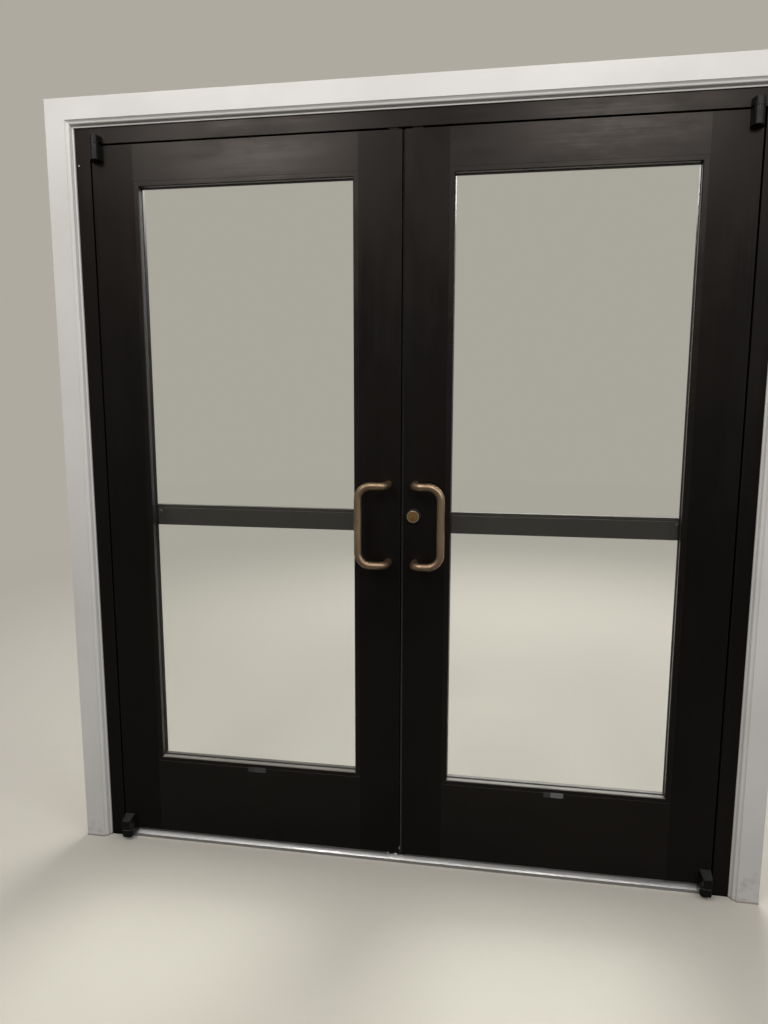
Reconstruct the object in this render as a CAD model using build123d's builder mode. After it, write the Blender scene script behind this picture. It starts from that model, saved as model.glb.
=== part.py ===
"""A pair of glazed aluminium entrance leaves in their frame, with painted timber casing.

Millimetres. X runs to the right for someone on the pull side, Y runs from the pull side to the push
side and Z is up. The origin lies on the floor, in the middle of the opening and of the frame's depth.
Every part of a leaf is drawn for the right leaf and mirrored for the left one.
"""
import os

from build123d import *

os.makedirs("parts", exist_ok=True)

# Opening and frame
opening_width = 1828.8
opening_height = 2146.35
frame_depth = 114.3
frame_face = 44.45
frame_wall = 3.2

# Leaves
leaf_thickness = 44.45
leaf_wall = 3.2
hinge_gap = 5.5
meeting_gap = 8.0
head_gap = 6.0
sill_gap = 13.3
hinge_stile_width = 124.5
lock_stile_width = 122.0
top_rail_height = 101.0
bottom_rail_height = 240.0
rail_web = 3.2

# Glazing
glass_thickness = 6.35
glass_edge_gap = 4.5
glazing_stop_height = 14.5
glazing_stop_setback = 0.8
glazing_stop_chamfer = 2.0
glazing_stop_wall = 1.8
gasket_thickness = 3.5
gasket_setback = 0.5
mitre_gap = 0.3
setting_block_length = 100.0
setting_block_width = 12.0

# Threshold
threshold_height = 19.05
threshold_lip = 9.85
threshold_bevel = 13.0
flute_pitch = 8.0
flute_width = 3.0
flute_depth = 0.9
flute_count = 10
threshold_foot = 14.0
threshold_relief = 13.0

# Door stop and its pile
door_stop_height = 16.0
door_stop_depth = 24.0
door_stop_wall = 2.0
door_stop_gap = 4.4
pile_width = 6.0
pile_clearance = 0.3
pile_end = 25.0
jamb_pile_height = 0.9

# Timber liner and casing
liner_thickness = 19.0
liner_reveal = 5.0
casing_width = 72.0
casing_thickness = 17.0
casing_inset = 5.0
bead_width = 7.0
bead_edge = 4.0
bead_rise = 8.0
cove_width = 6.0

# Offset pivots
pivot_offset = 19.0
pivot_inset = 19.9
pin_radius = 6.35
pin_clearance = 0.08
pivot_gap = 1.2
pivot_foot = 2.0
top_knuckle_radius = 12.7
top_knuckle_height = 44.0
top_frame_knuckle_height = 16.3
top_knuckle_round = 2.0
top_arm_inner = 15.0
top_pin_depth = 30.0
bottom_outer = 19.0
bottom_block_foot = 12.0
bottom_block_nose = 6.5
bottom_block_reach = 12.0
bottom_block_corner = 4.0
bottom_block_back = 78.5
bottom_block_front = 64.5
bottom_cup_radius = 14.0
bottom_cup_corner = 6.0
bottom_cup_base = 10.35
bottom_cup_top = 36.35
bottom_cup_round = 5.0
bottom_cup_bevel = 1.0
bottom_pin_depth = 22.0
bore_spare = 3.0
floor_arm_thickness = 11.0
floor_arm_width = 28.0
floor_arm_reach = 55.0

# Pulls
pull_radius = 11.0
pull_spacing = 228.6
pull_height = 1066.35
pull_mount = 39.0
pull_grip = 118.0
pull_projection = 58.0
pull_base_bend = 27.0
pull_grip_bend = 38.0

# Push bars
bar_height = 62.0
bar_depth = 30.0
bar_middle = 1063.35
bar_standoff = 15.7
bar_wall = 2.5
bar_lip_drop = 9.0
bar_lip_wall = 3.5
bar_slot_width = 6.0
bar_slot_depth = 8.0
bar_corner = 4.0
bar_edge = 0.5
bar_top_edge = 1.5
bar_overlap = 66.0
bar_cap_thickness = 3.0
bracket_height = 46.0
bracket_corner = 12.0
bracket_reach = 26.0
bracket_lock_reach = 13.0

# Tie rods
rod_radius = 4.75
rod_hole_clearance = 0.3
nut_flats = 17.0
nut_thickness = 8.0
rod_thread_end = 5.0

# Lock in the right leaf, strike in the left leaf
cylinder_height = 1088.85
cylinder_backset = 29.5
cylinder_radius = 14.7
cylinder_head_radius = 17.5
cylinder_head_thickness = 5.0
cylinder_head_bevel = 1.0
collar_radius = 22.0
collar_front_radius = 19.0
collar_thickness = 6.0
cylinder_length = 22.0
plug_drop = 7.2
plug_radius = 6.35
plug_clearance = 0.05
plug_proud = 0.4
cam_length = 14.0
cam_thickness = 3.0
cam_width = 8.0
cam_corner = 2.0
keyway_width = 1.6
keyway_height = 7.5
keyway_depth = 12.0
hook_drop = 66.0
hook_backset = 14.0
hook_length = 46.0
hook_width = 12.0
hook_thickness = 9.0
hook_notch = 5.0
hook_nose = 12.0
hook_shank = 20.0
hook_slope = 3.0
hook_margin = 1.0
hook_pin_radius = 4.0
case_width = 44.0
case_thickness = 24.0
case_wall = 1.6
case_over = 26.0
case_under = 84.0
front_plate_width = 25.0
front_plate_thickness = 1.6
front_plate_ends = 12.0
plate_clearance = 0.1
slot_margin = 2.0
strike_plate_height = 90.0
strike_catch = 3.0
strike_slot_height = 46.0
strike_slot_width = 13.0
case_gap = 0.3

# Flush bolts in the left leaf
flush_rod_radius = 6.35
flush_backset = 26.0
flush_rod_length = 290.0
flush_rod_bevel = 1.0
flush_rod_end_gap = 1.0
flush_throw = 19.0
flush_plate_height = 150.0
flush_plate_start = 150.0
flush_tab_width = 8.0
flush_tab_height = 14.0
flush_tab_recess = 1.0
flush_block_height = 26.0
flush_guide_height = 20.0
flush_block_reach = 10.0
flush_guide_reach = 14.0
flush_ring_wall = 4.0
flush_clearance = 0.08
keeper_length = 28.0
keeper_width = 25.0
keeper_thickness = 2.0
keeper_corner = 3.0
keeper_hole_x = 16.0
keeper_hole_y = 18.0
right_keeper_x = 36.0

# Meeting astragal on the right leaf
astragal_width = 6.0
astragal_thickness = 2.0
astragal_inset = 1.3
astragal_pile_width = 4.0
astragal_pile_height = 1.6

# Places worked out from the sizes above
front_y = -frame_depth / 2
back_y = frame_depth / 2
leaf_back_y = front_y + leaf_thickness
leaf_mid_y = front_y + leaf_thickness / 2
half_opening = opening_width / 2
frame_outer = half_opening + frame_face
frame_top = opening_height + frame_face
lock_edge = meeting_gap / 2
hinge_edge = half_opening - hinge_gap
leaf_bottom = threshold_height + sill_gap
leaf_top = opening_height - head_gap
light_inner = lock_edge + lock_stile_width
light_outer = hinge_edge - hinge_stile_width
light_bottom = leaf_bottom + bottom_rail_height
light_top = leaf_top - top_rail_height
light_middle = (light_inner + light_outer) / 2
light_width = light_outer - light_inner
glass_front_y = leaf_mid_y - glass_thickness / 2
glass_back_y = leaf_mid_y + glass_thickness / 2
pivot_x = hinge_edge - pivot_inset
pivot_y = front_y - pivot_offset
cylinder_x = lock_edge + cylinder_backset
plug_z = cylinder_height - plug_drop
hook_x = lock_edge + hook_backset
hook_z = cylinder_height - hook_drop
strike_z = hook_z - strike_catch + strike_slot_height / 2
case_front_y = leaf_mid_y - case_thickness / 2
flush_x = lock_edge + flush_backset
bar_near_y = leaf_back_y + bar_standoff
bar_far_y = bar_near_y + bar_depth
bar_bottom = bar_middle - bar_height / 2
bar_top = bar_middle + bar_height / 2
bar_inner = light_inner - bar_overlap
bar_outer = light_outer + bar_overlap
rod_heights = (light_top + top_rail_height / 2, leaf_bottom + bottom_rail_height / 4)
RIGHT = 1
LEFT = -1


def facing(y):
    """Plane at depth y whose sketch axes are X and Z and whose normal points at the pull side."""
    return Plane.XZ.offset(-y)


def save(piece, name):
    """Label a finished piece and write its STEP file."""
    piece.label = name
    export_step(piece, f"parts/{name}.step")


def save_side(piece, side, name):
    """Write a piece drawn for the right side there, or mirrored for the left side."""
    with BuildPart() as placed:
        if side == RIGHT:
            add(piece)
        else:
            mirror(piece, about=Plane.YZ)
    save(placed.part, name)


def block(x_range, y_range, z_range):
    """Plain rectangular length of material between three pairs of limits."""
    with BuildPart() as length:
        with BuildSketch(Plane.XY.offset(z_range[0])):
            with Locations((sum(x_range) / 2, sum(y_range) / 2)):
                Rectangle(x_range[1] - x_range[0], y_range[1] - y_range[0])
        extrude(amount=z_range[1] - z_range[0])
    return length.part


# Frame
def jamb():
    """Right jamb: a square-edged tube from the floor to the top of the head."""
    with BuildPart() as tube:
        with BuildSketch():
            with Locations((half_opening + frame_face / 2, 0)):
                Rectangle(frame_face, frame_depth)
                Rectangle(frame_face - 2 * frame_wall, frame_depth - 2 * frame_wall, mode=Mode.SUBTRACT)
        extrude(amount=frame_top)
    return tube.part


def frame_head():
    """Head tube between the jambs, pierced over the left leaf for its top bolt."""
    with BuildPart() as tube:
        with BuildSketch(Plane.YZ.offset(-half_opening)):
            with Locations((0, opening_height + frame_face / 2)):
                Rectangle(frame_depth, frame_face)
                Rectangle(frame_depth - 2 * frame_wall, frame_face - 2 * frame_wall, mode=Mode.SUBTRACT)
        extrude(amount=opening_width)
        with BuildSketch(Plane.XY.offset(opening_height)):
            with Locations((-flush_x, leaf_mid_y)):
                Rectangle(keeper_hole_x, keeper_hole_y)
        extrude(amount=frame_wall, mode=Mode.SUBTRACT)
    return tube.part


def jamb_door_stop():
    """Right door stop: a hollow bar on the jamb, with a low pile that the leaf's heel clears."""
    near_y = leaf_back_y + door_stop_gap
    inner = half_opening - door_stop_height
    with BuildPart() as stop:
        with BuildSketch(Plane.XY.offset(threshold_height)):
            with Locations((half_opening - door_stop_height / 2, near_y + door_stop_depth / 2)):
                Rectangle(door_stop_height, door_stop_depth)
                Rectangle(door_stop_height - 2 * door_stop_wall, door_stop_depth - 2 * door_stop_wall,
                          mode=Mode.SUBTRACT)
            with Locations((inner + pile_width, near_y - jamb_pile_height / 2)):
                Rectangle(pile_width, jamb_pile_height)
        extrude(amount=opening_height - threshold_height)
    return stop.part


def head_door_stop():
    """Head door stop between the jamb stops, with pile that reaches the backs of the leaves."""
    near_y = leaf_back_y + door_stop_gap
    reach = half_opening - door_stop_height
    pile_reach = pivot_x - pile_end
    pile_height = door_stop_gap - pile_clearance
    with BuildPart() as stop:
        with BuildSketch(Plane.YZ.offset(-reach)):
            with Locations((near_y + door_stop_depth / 2, opening_height - door_stop_height / 2)):
                Rectangle(door_stop_depth, door_stop_height)
                Rectangle(door_stop_depth - 2 * door_stop_wall, door_stop_height - 2 * door_stop_wall,
                          mode=Mode.SUBTRACT)
        extrude(amount=2 * reach)
        with BuildSketch(Plane.YZ.offset(-pile_reach)):
            with Locations((near_y - pile_height / 2, opening_height - door_stop_height + pile_width)):
                Rectangle(pile_height, pile_width)
        extrude(amount=2 * pile_reach)
    return stop.part


def casing_outline(inner, back, outward, toward):
    """Casing section: quirk edge, bead, cove and flat, from its inner edge at inner outwards.

    The numbers outward and toward give the directions of the sketch's first and second axes.
    """
    def at(out, rise):
        return (inner + outward * out, back + toward * rise)

    bead_top = bead_edge + bead_rise
    with BuildLine() as line:
        Polyline(at(0, 0), at(0, bead_edge), at(1, bead_edge + 2))
        Spline(at(1, bead_edge + 2), at(bead_width / 2, bead_top - 1), at(bead_width, bead_top))
        Spline(at(bead_width, bead_top), at(bead_width + 0.6 * cove_width, casing_thickness - 3),
               at(bead_width + cove_width, casing_thickness))
        Polyline(at(bead_width + cove_width, casing_thickness), at(casing_width, casing_thickness),
                 at(casing_width, 0), at(0, 0))
    return line.line


def casing_side():
    """Right casing leg, mitred to the head casing at the top."""
    back = front_y - liner_reveal
    with BuildPart() as leg:
        with BuildSketch():
            make_face(casing_outline(frame_outer + casing_inset, back, 1, -1))
        extrude(amount=frame_top + casing_inset + casing_width)
        split(bisect_by=Plane((frame_outer, 0, frame_top), z_dir=(1, 0, -1)), keep=Keep.TOP)
    return leg.part


def casing_head():
    """Head casing, mitred at both ends."""
    back = front_y - liner_reveal
    reach = frame_outer + casing_inset + casing_width
    with BuildPart() as board:
        with BuildSketch(Plane.ZY.offset(-reach)):
            make_face(casing_outline(frame_top + casing_inset, back, 1, -1))
        extrude(amount=2 * reach)
        split(bisect_by=Plane((frame_outer, 0, frame_top), z_dir=(-1, 0, 1)), keep=Keep.TOP)
        split(bisect_by=Plane((-frame_outer, 0, frame_top), z_dir=(1, 0, 1)), keep=Keep.TOP)
    return board.part


def threshold():
    """Fluted saddle between the jambs, relieved below, with the hole for the bottom bolt."""
    flat = back_y - threshold_bevel
    with BuildPart() as saddle:
        with BuildSketch(Plane.YZ.offset(-half_opening)):
            with BuildLine():
                Polyline((front_y, 0), (front_y, threshold_lip), (-flat, threshold_height),
                         (flat, threshold_height), (back_y, threshold_lip), (back_y, 0), close=True)
            make_face()
            with GridLocations(flute_pitch, 1, flute_count, 1):
                with Locations((0, threshold_height)):
                    Rectangle(flute_width, 2 * flute_depth, mode=Mode.SUBTRACT)
            relief_width = (2 * flat - 3 * threshold_foot) / 2
            relief_middle = (threshold_foot + relief_width) / 2
            with Locations((-relief_middle, threshold_relief / 2), (relief_middle, threshold_relief / 2)):
                Rectangle(relief_width, threshold_relief, mode=Mode.SUBTRACT)
        extrude(amount=opening_width)
        with BuildSketch():
            with Locations((-flush_x, leaf_mid_y)):
                Rectangle(keeper_hole_x, keeper_hole_y)
        extrude(amount=threshold_height, mode=Mode.SUBTRACT)
    return saddle.part


def head_keepers():
    """Two keeper plates under the head, the left one over the top bolt."""
    with BuildPart() as plates:
        with BuildSketch(Plane.XY.offset(opening_height - keeper_thickness)):
            with Locations((-flush_x, leaf_mid_y), (right_keeper_x, leaf_mid_y)):
                RectangleRounded(keeper_length, keeper_width, keeper_corner)
                Rectangle(keeper_hole_x, keeper_hole_y, mode=Mode.SUBTRACT)
        extrude(amount=keeper_thickness)
    return plates.part


# Pivots
def knuckle_plan(base):
    """Plan of a top pivot half: a round knuckle drawn out to a foot on the face behind it."""
    with BuildSketch(Plane.XY.offset(base)) as plan:
        with Locations((pivot_x, pivot_y)):
            Circle(top_knuckle_radius)
        with Locations((pivot_x + (pivot_inset - top_arm_inner) / 2, front_y - pivot_foot / 2)):
            Rectangle(top_arm_inner + pivot_inset, pivot_foot)
        make_hull()
    return plan.sketch


def top_pivot_leaf():
    """Leaf half of the top pivot, bored right through for the pin."""
    base = leaf_top - top_knuckle_height
    with BuildPart() as half:
        add(knuckle_plan(base))
        extrude(amount=top_knuckle_height)
        with BuildSketch(Plane.XY.offset(base)):
            with Locations((pivot_x, pivot_y)):
                Circle(pin_radius + pin_clearance)
        extrude(amount=top_knuckle_height, mode=Mode.SUBTRACT)
        fillet(half.faces().sort_by(Axis.Z)[0].edges().sort_by(Axis.Y)[0], top_knuckle_round)
    return half.part


def top_pivot_frame():
    """Frame half of the top pivot, on the face of the head, with the pin pressed into it."""
    base = leaf_top + pivot_gap
    seat = opening_height + pivot_gap
    with BuildPart() as half:
        add(knuckle_plan(seat))
        extrude(amount=top_frame_knuckle_height)
        fillet(half.faces().sort_by(Axis.Z)[-1].edges().sort_by(Axis.Y)[0], top_knuckle_round)
        with BuildSketch(Plane.XY.offset(base)):
            with Locations((pivot_x, pivot_y)):
                Circle(top_knuckle_radius)
        extrude(amount=seat - base)
        with BuildSketch(Plane.XY.offset(base - top_pin_depth)):
            with Locations((pivot_x, pivot_y)):
                Circle(pin_radius)
        extrude(amount=top_pin_depth)
    return half.part


def bottom_pivot_leaf():
    """Leaf half of the bottom pivot: a tapered block with a sloping top and a blind bore."""
    base = bottom_cup_top + pivot_gap
    depth = pivot_offset + bottom_block_reach
    slope = Vector(0, bottom_block_front - bottom_block_back, depth)
    corner_y = pivot_y - bottom_block_reach + bottom_block_corner
    with BuildPart() as half:
        with BuildSketch(Plane.XY.offset(base)):
            with Locations((pivot_x + bottom_outer - bottom_block_corner, corner_y),
                           (pivot_x - bottom_block_nose + bottom_block_corner, corner_y)):
                Circle(bottom_block_corner)
            with Locations((pivot_x + (bottom_outer - bottom_block_foot) / 2, front_y - pivot_foot / 2)):
                Rectangle(bottom_block_foot + bottom_outer, pivot_foot)
            make_hull()
        extrude(amount=bottom_block_back - base)
        split(bisect_by=Plane((pivot_x, front_y, bottom_block_back), z_dir=slope), keep=Keep.BOTTOM)
        with BuildSketch(Plane.XY.offset(base)):
            with Locations((pivot_x, pivot_y)):
                Circle(pin_radius + pin_clearance)
        extrude(amount=bottom_pin_depth + bore_spare, mode=Mode.SUBTRACT)
    return half.part


def bottom_pivot_frame():
    """Floor half of the bottom pivot: a cup with the pin, and an arm that lies on the threshold."""
    corner_x = pivot_x + bottom_outer - bottom_cup_corner
    corner_reach = bottom_cup_radius - bottom_cup_corner
    with BuildPart() as half:
        with BuildSketch(Plane.XY.offset(bottom_cup_base)):
            with Locations((pivot_x, pivot_y)):
                Circle(bottom_cup_radius)
            with Locations((corner_x, pivot_y - corner_reach), (corner_x, pivot_y + corner_reach)):
                Circle(bottom_cup_corner)
            make_hull()
        extrude(amount=bottom_cup_top - bottom_cup_base)
        fillet(half.faces().sort_by(Axis.Z)[0].edges(), bottom_cup_round)
        chamfer(half.faces().sort_by(Axis.Z)[-1].edges(), bottom_cup_bevel)
        with BuildSketch(Plane.XY.offset(threshold_height)):
            with Locations((pivot_x, pivot_y + floor_arm_reach / 2)):
                Rectangle(floor_arm_width, floor_arm_reach)
        extrude(amount=floor_arm_thickness)
        with BuildSketch(Plane.XY.offset(bottom_cup_top)):
            with Locations((pivot_x, pivot_y)):
                Circle(pin_radius)
        extrude(amount=bottom_pin_depth)
    return half.part


# Leaf framework
def stile(inner, outer):
    """Upright tube between two distances from the middle of the opening."""
    with BuildPart() as tube:
        with BuildSketch(Plane.XY.offset(leaf_bottom)):
            with Locations(((inner + outer) / 2, leaf_mid_y)):
                Rectangle(outer - inner, leaf_thickness)
                Rectangle(outer - inner - 2 * leaf_wall, leaf_thickness - 2 * leaf_wall, mode=Mode.SUBTRACT)
        extrude(amount=leaf_top - leaf_bottom)
        wall_x = outer - leaf_wall if outer == light_inner else inner
        with BuildSketch(Plane.YZ.offset(wall_x)):
            with Locations(*[(leaf_mid_y, height) for height in rod_heights]):
                Circle(rod_radius + rod_hole_clearance)
        extrude(amount=leaf_wall, mode=Mode.SUBTRACT)
    return tube.part


def edge_cut(part, depth, width, bottom, top):
    """Cut a rectangular recess of a given depth into the meeting edge of a lock stile."""
    with BuildPart() as cut:
        add(part)
        with BuildSketch(Plane.YZ.offset(lock_edge)):
            with Locations((leaf_mid_y, (bottom + top) / 2)):
                Rectangle(width, top - bottom)
        extrude(amount=depth, mode=Mode.SUBTRACT)
    return cut.part


def right_lock_stile():
    """Active lock stile: seat and slot for the lock, and the hole for its cylinder."""
    bottom = cylinder_height - case_under - front_plate_ends
    top = cylinder_height + case_over + front_plate_ends
    body = edge_cut(stile(lock_edge, light_inner), front_plate_thickness, front_plate_width, bottom, top)
    body = edge_cut(body, leaf_wall, hook_thickness + 2 * slot_margin,
                    hook_z - hook_width / 2 - slot_margin, hook_z + hook_length + slot_margin)
    with BuildPart() as bored:
        add(body)
        with BuildSketch(facing(front_y)):
            with Locations((cylinder_x, cylinder_height)):
                Circle(cylinder_radius + plug_clearance)
        extrude(amount=-leaf_wall, mode=Mode.SUBTRACT)
    return bored.part


def flush_levels():
    """Bottom and top of the two flush bolt plates, lower one first."""
    low = leaf_bottom + flush_plate_start
    high = leaf_top - flush_plate_start
    return (low, low + flush_plate_height), (high - flush_plate_height, high)


def left_lock_stile():
    """Inactive lock stile, drawn on the right: seats and slots for the strike and both flush bolts."""
    body = stile(lock_edge, light_inner)
    half_plate = strike_plate_height / 2
    half_slot = strike_slot_height / 2 + slot_margin
    body = edge_cut(body, front_plate_thickness, front_plate_width,
                    strike_z - half_plate, strike_z + half_plate)
    body = edge_cut(body, leaf_wall, strike_slot_width + slot_margin,
                    strike_z - half_slot, strike_z + half_slot)
    for bottom, top in flush_levels():
        body = edge_cut(body, front_plate_thickness, front_plate_width, bottom, top)
        body = edge_cut(body, leaf_wall, flush_tab_width + 2 * slot_margin, bottom + front_plate_ends,
                        top - front_plate_ends)
    return body


def rail(bottom, height, webs):
    """Rail tube between the stiles, with flat webs across it at equal heights."""
    with BuildPart() as tube:
        with BuildSketch(Plane.YZ.offset(light_inner)):
            with Locations((leaf_mid_y, bottom + height / 2)):
                Rectangle(leaf_thickness, height)
                Rectangle(leaf_thickness - 2 * leaf_wall, height - 2 * leaf_wall, mode=Mode.SUBTRACT)
            for web in range(webs):
                with Locations((leaf_mid_y, bottom + height * (web + 1) / (webs + 1))):
                    Rectangle(leaf_thickness - leaf_wall, rail_web)
        extrude(amount=light_width)
    return tube.part


def tie_rods():
    """Two rods through the rails, each with a nut at both ends inside the stiles."""
    start = light_inner - leaf_wall
    end = light_outer + leaf_wall
    with BuildPart() as rods:
        with BuildSketch(Plane.YZ.offset(start - nut_thickness - rod_thread_end)):
            with Locations(*[(leaf_mid_y, height) for height in rod_heights]):
                Circle(rod_radius)
        extrude(amount=end - start + 2 * (nut_thickness + rod_thread_end))
        for nut_x in (start - nut_thickness, end):
            with BuildSketch(Plane.YZ.offset(nut_x)):
                with Locations(*[(leaf_mid_y, height) for height in rod_heights]):
                    RegularPolygon(nut_flats / 2, 6, major_radius=False)
            extrude(amount=nut_thickness)
    return rods.part


# Glazing
def glass():
    """Clear pane, held by its edges in the glazing stops."""
    return block((light_inner + glass_edge_gap, light_outer - glass_edge_gap), (glass_front_y, glass_back_y),
                 (light_bottom + glass_edge_gap, light_top - glass_edge_gap))


def setting_blocks():
    """Two blocks on the bottom rail, at the quarter points, that carry the pane."""
    with BuildPart() as blocks:
        with BuildSketch(Plane.XY.offset(light_bottom)):
            with Locations((light_inner + light_width / 4, leaf_mid_y),
                           (light_outer - light_width / 4, leaf_mid_y)):
                Rectangle(setting_block_length, setting_block_width)
        extrude(amount=glass_edge_gap)
    return blocks.part


def stop_length(flat_y, glass_y, along_x):
    """One glazing stop along the bottom or along the inner side: a channel open to the framework.

    Its sight side has a small chamfer towards the leaf's face at flat_y, and its foot is at glass_y.
    """
    turn = 1 if glass_y > flat_y else -1
    base = light_bottom if along_x else light_inner
    run = light_width if along_x else light_top - light_bottom
    wall = glazing_stop_wall
    tip = glazing_stop_height
    section = [(0, flat_y), (tip - glazing_stop_chamfer, flat_y), (tip, flat_y + turn * glazing_stop_chamfer),
               (tip, glass_y), (0, glass_y), (0, glass_y - turn * wall), (tip - wall, glass_y - turn * wall),
               (tip - wall, flat_y + turn * (glazing_stop_chamfer + wall / 2)),
               (tip - glazing_stop_chamfer - wall / 2, flat_y + turn * wall), (0, flat_y + turn * wall)]
    plane = Plane.ZY.offset(-light_outer) if along_x else Plane.XY.offset(light_bottom)
    corner = Plane.XZ
    with BuildPart() as length:
        with BuildSketch(plane):
            with BuildLine():
                Polyline(*[(base + out, y) for out, y in section], close=True)
            make_face()
        extrude(amount=run)
        shift = mitre_gap / 2
        if along_x:
            split(bisect_by=Plane((light_inner + shift, 0, light_bottom), z_dir=(1, 0, -1)), keep=Keep.TOP)
            split(bisect_by=Plane((light_outer - shift, 0, light_bottom), z_dir=(-1, 0, -1)), keep=Keep.TOP)
        else:
            split(bisect_by=Plane((light_inner, 0, light_bottom + shift), z_dir=(-1, 0, 1)), keep=Keep.TOP)
            split(bisect_by=Plane((light_inner, 0, light_top - shift), z_dir=(-1, 0, -1)), keep=Keep.TOP)
    return length.part


def glazing_stops(flat_y, glass_y):
    """Four mitred stops round the pane on one side of the leaf."""
    middle_z = (light_bottom + light_top) / 2
    bottom = stop_length(flat_y, glass_y, True)
    inner = stop_length(flat_y, glass_y, False)
    with BuildPart() as ring:
        add(bottom)
        add(inner)
        mirror(bottom, about=Plane.XY.offset(middle_z))
        mirror(inner, about=Plane.YZ.offset(light_middle))
    return ring.part


def gaskets():
    """Rubber frames on both sides of the pane, between the glass and the stops."""
    reach = glazing_stop_height - gasket_setback
    middle_z = (light_bottom + light_top) / 2
    light_height = light_top - light_bottom
    with BuildPart() as frames:
        for start in (glass_front_y, glass_back_y + gasket_thickness):
            with BuildSketch(facing(start)):
                with Locations((light_middle, middle_z)):
                    Rectangle(light_width - 2 * glass_edge_gap, light_height - 2 * glass_edge_gap)
                    Rectangle(light_width - 2 * reach, light_height - 2 * reach, mode=Mode.SUBTRACT)
            extrude(amount=gasket_thickness)
    return frames.part


# Pull and push bar
def pull():
    """Offset pull: one round bar, bent out from the stile, sideways and then upright."""
    low = pull_height - pull_spacing / 2
    high = pull_height + pull_spacing / 2
    out_y = front_y - pull_projection
    with BuildPart() as bar:
        with BuildLine() as path:
            FilletPolyline((pull_mount, front_y, high), (pull_mount, out_y, high), (pull_grip, out_y, high),
                           (pull_grip, out_y, low), (pull_mount, out_y, low), (pull_mount, front_y, low),
                           radius=[pull_base_bend, pull_grip_bend, pull_grip_bend, pull_base_bend])
        with BuildSketch(facing(front_y)):
            with Locations((pull_mount, high)):
                Circle(pull_radius)
        sweep(path=path.line)
    return bar.part


def bar_outline():
    """Section of the push bar: body, a slot along the top and a lower lip towards the glass."""
    slot_y = bar_near_y + bar_lip_wall
    lip_top = bar_top - bar_lip_drop
    slot_bottom = lip_top - bar_slot_depth
    with BuildLine() as line:
        FilletPolyline((bar_near_y, bar_bottom), (bar_near_y, lip_top), (slot_y, lip_top),
                       (slot_y, slot_bottom), (slot_y + bar_slot_width, slot_bottom),
                       (slot_y + bar_slot_width, bar_top), (bar_far_y, bar_top), (bar_far_y, bar_bottom),
                       radius=[bar_edge, bar_edge, bar_edge, bar_edge, bar_top_edge, bar_corner], close=False)
        Line(line.line @ 1, line.line @ 0)
    return line.line


def push_bar():
    """Hollow push bar across the whole leaf."""
    slot_y = bar_near_y + bar_lip_wall + bar_slot_width
    with BuildPart() as bar:
        with BuildSketch(Plane.YZ.offset(bar_inner)):
            make_face(bar_outline())
            with Locations(((slot_y + bar_far_y) / 2, bar_middle)):
                Rectangle(bar_far_y - slot_y - 2 * bar_wall, bar_height - 2 * bar_wall, mode=Mode.SUBTRACT)
        extrude(amount=bar_outer - bar_inner)
    return bar.part


def bar_bracket(inner, outer):
    """Bracket on the back of a stile, rounded at all four corners."""
    with BuildPart() as bracket:
        with BuildSketch(facing(bar_near_y)):
            with Locations(((inner + outer) / 2, bar_middle - bar_lip_drop / 2)):
                RectangleRounded(outer - inner, bracket_height, bracket_corner)
        extrude(amount=bar_standoff)
    return bracket.part


def bar_fittings():
    """Two brackets under the push bar and a cap on each of its ends."""
    lock_bracket = bar_bracket(bar_inner, light_inner + bracket_lock_reach)
    hinge_bracket = bar_bracket(light_outer - bracket_reach, bar_outer)
    with BuildPart() as fittings:
        add(lock_bracket)
        add(hinge_bracket)
        for cap_x in (bar_inner - bar_cap_thickness, bar_outer):
            with BuildSketch(Plane.YZ.offset(cap_x)):
                with Locations(((bar_near_y + bar_far_y) / 2, bar_middle)):
                    RectangleRounded(bar_depth, bar_height, bar_corner)
            extrude(amount=bar_cap_thickness)
    return fittings.part


# Lock
def lock_case():
    """Lock body: a closed case, a neck through the stile, the front plate and the hook bolt's pin."""
    bottom = cylinder_height - case_under
    top = cylinder_height + case_over
    wall_inner = lock_edge + leaf_wall
    middle = (bottom + top) / 2
    height = top - bottom
    slot_middle = hook_z + (hook_length - hook_width / 2) / 2
    slot_height = hook_length + hook_width / 2
    with BuildPart() as case:
        with BuildSketch(facing(case_front_y)):
            with Locations((wall_inner + case_width / 2, middle)):
                Rectangle(case_width, height)
        extrude(amount=-case_thickness)
        with BuildSketch(facing(case_front_y + case_wall)):
            with Locations((wall_inner + case_width / 2, middle)):
                Rectangle(case_width - 2 * case_wall, height - 2 * case_wall)
        extrude(amount=-(case_thickness - 2 * case_wall), mode=Mode.SUBTRACT)
        with BuildSketch(facing(case_front_y)):
            with Locations((cylinder_x, cylinder_height)):
                Circle(cylinder_radius + plug_clearance)
        extrude(amount=-case_wall, mode=Mode.SUBTRACT)
        with BuildSketch(Plane.YZ.offset(lock_edge)):
            with Locations((leaf_mid_y, middle)):
                Rectangle(front_plate_width - 2 * plate_clearance,
                          height + 2 * front_plate_ends - 2 * plate_clearance)
        extrude(amount=front_plate_thickness)
        with BuildSketch(Plane.YZ.offset(lock_edge + front_plate_thickness)):
            with Locations((leaf_mid_y, slot_middle)):
                Rectangle(hook_thickness + 2 * (slot_margin - plate_clearance),
                          slot_height + 2 * (slot_margin - plate_clearance))
        extrude(amount=leaf_wall - front_plate_thickness)
        with BuildSketch(Plane.YZ.offset(lock_edge)):
            with Locations((leaf_mid_y, slot_middle)):
                Rectangle(hook_thickness + 2 * hook_margin, slot_height + 2 * hook_margin)
        extrude(amount=leaf_wall + case_wall, mode=Mode.SUBTRACT)
        with BuildSketch(facing(case_front_y)):
            with Locations((hook_x, hook_z)):
                Circle(hook_pin_radius)
        extrude(amount=-case_thickness)
    return case.part


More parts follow.
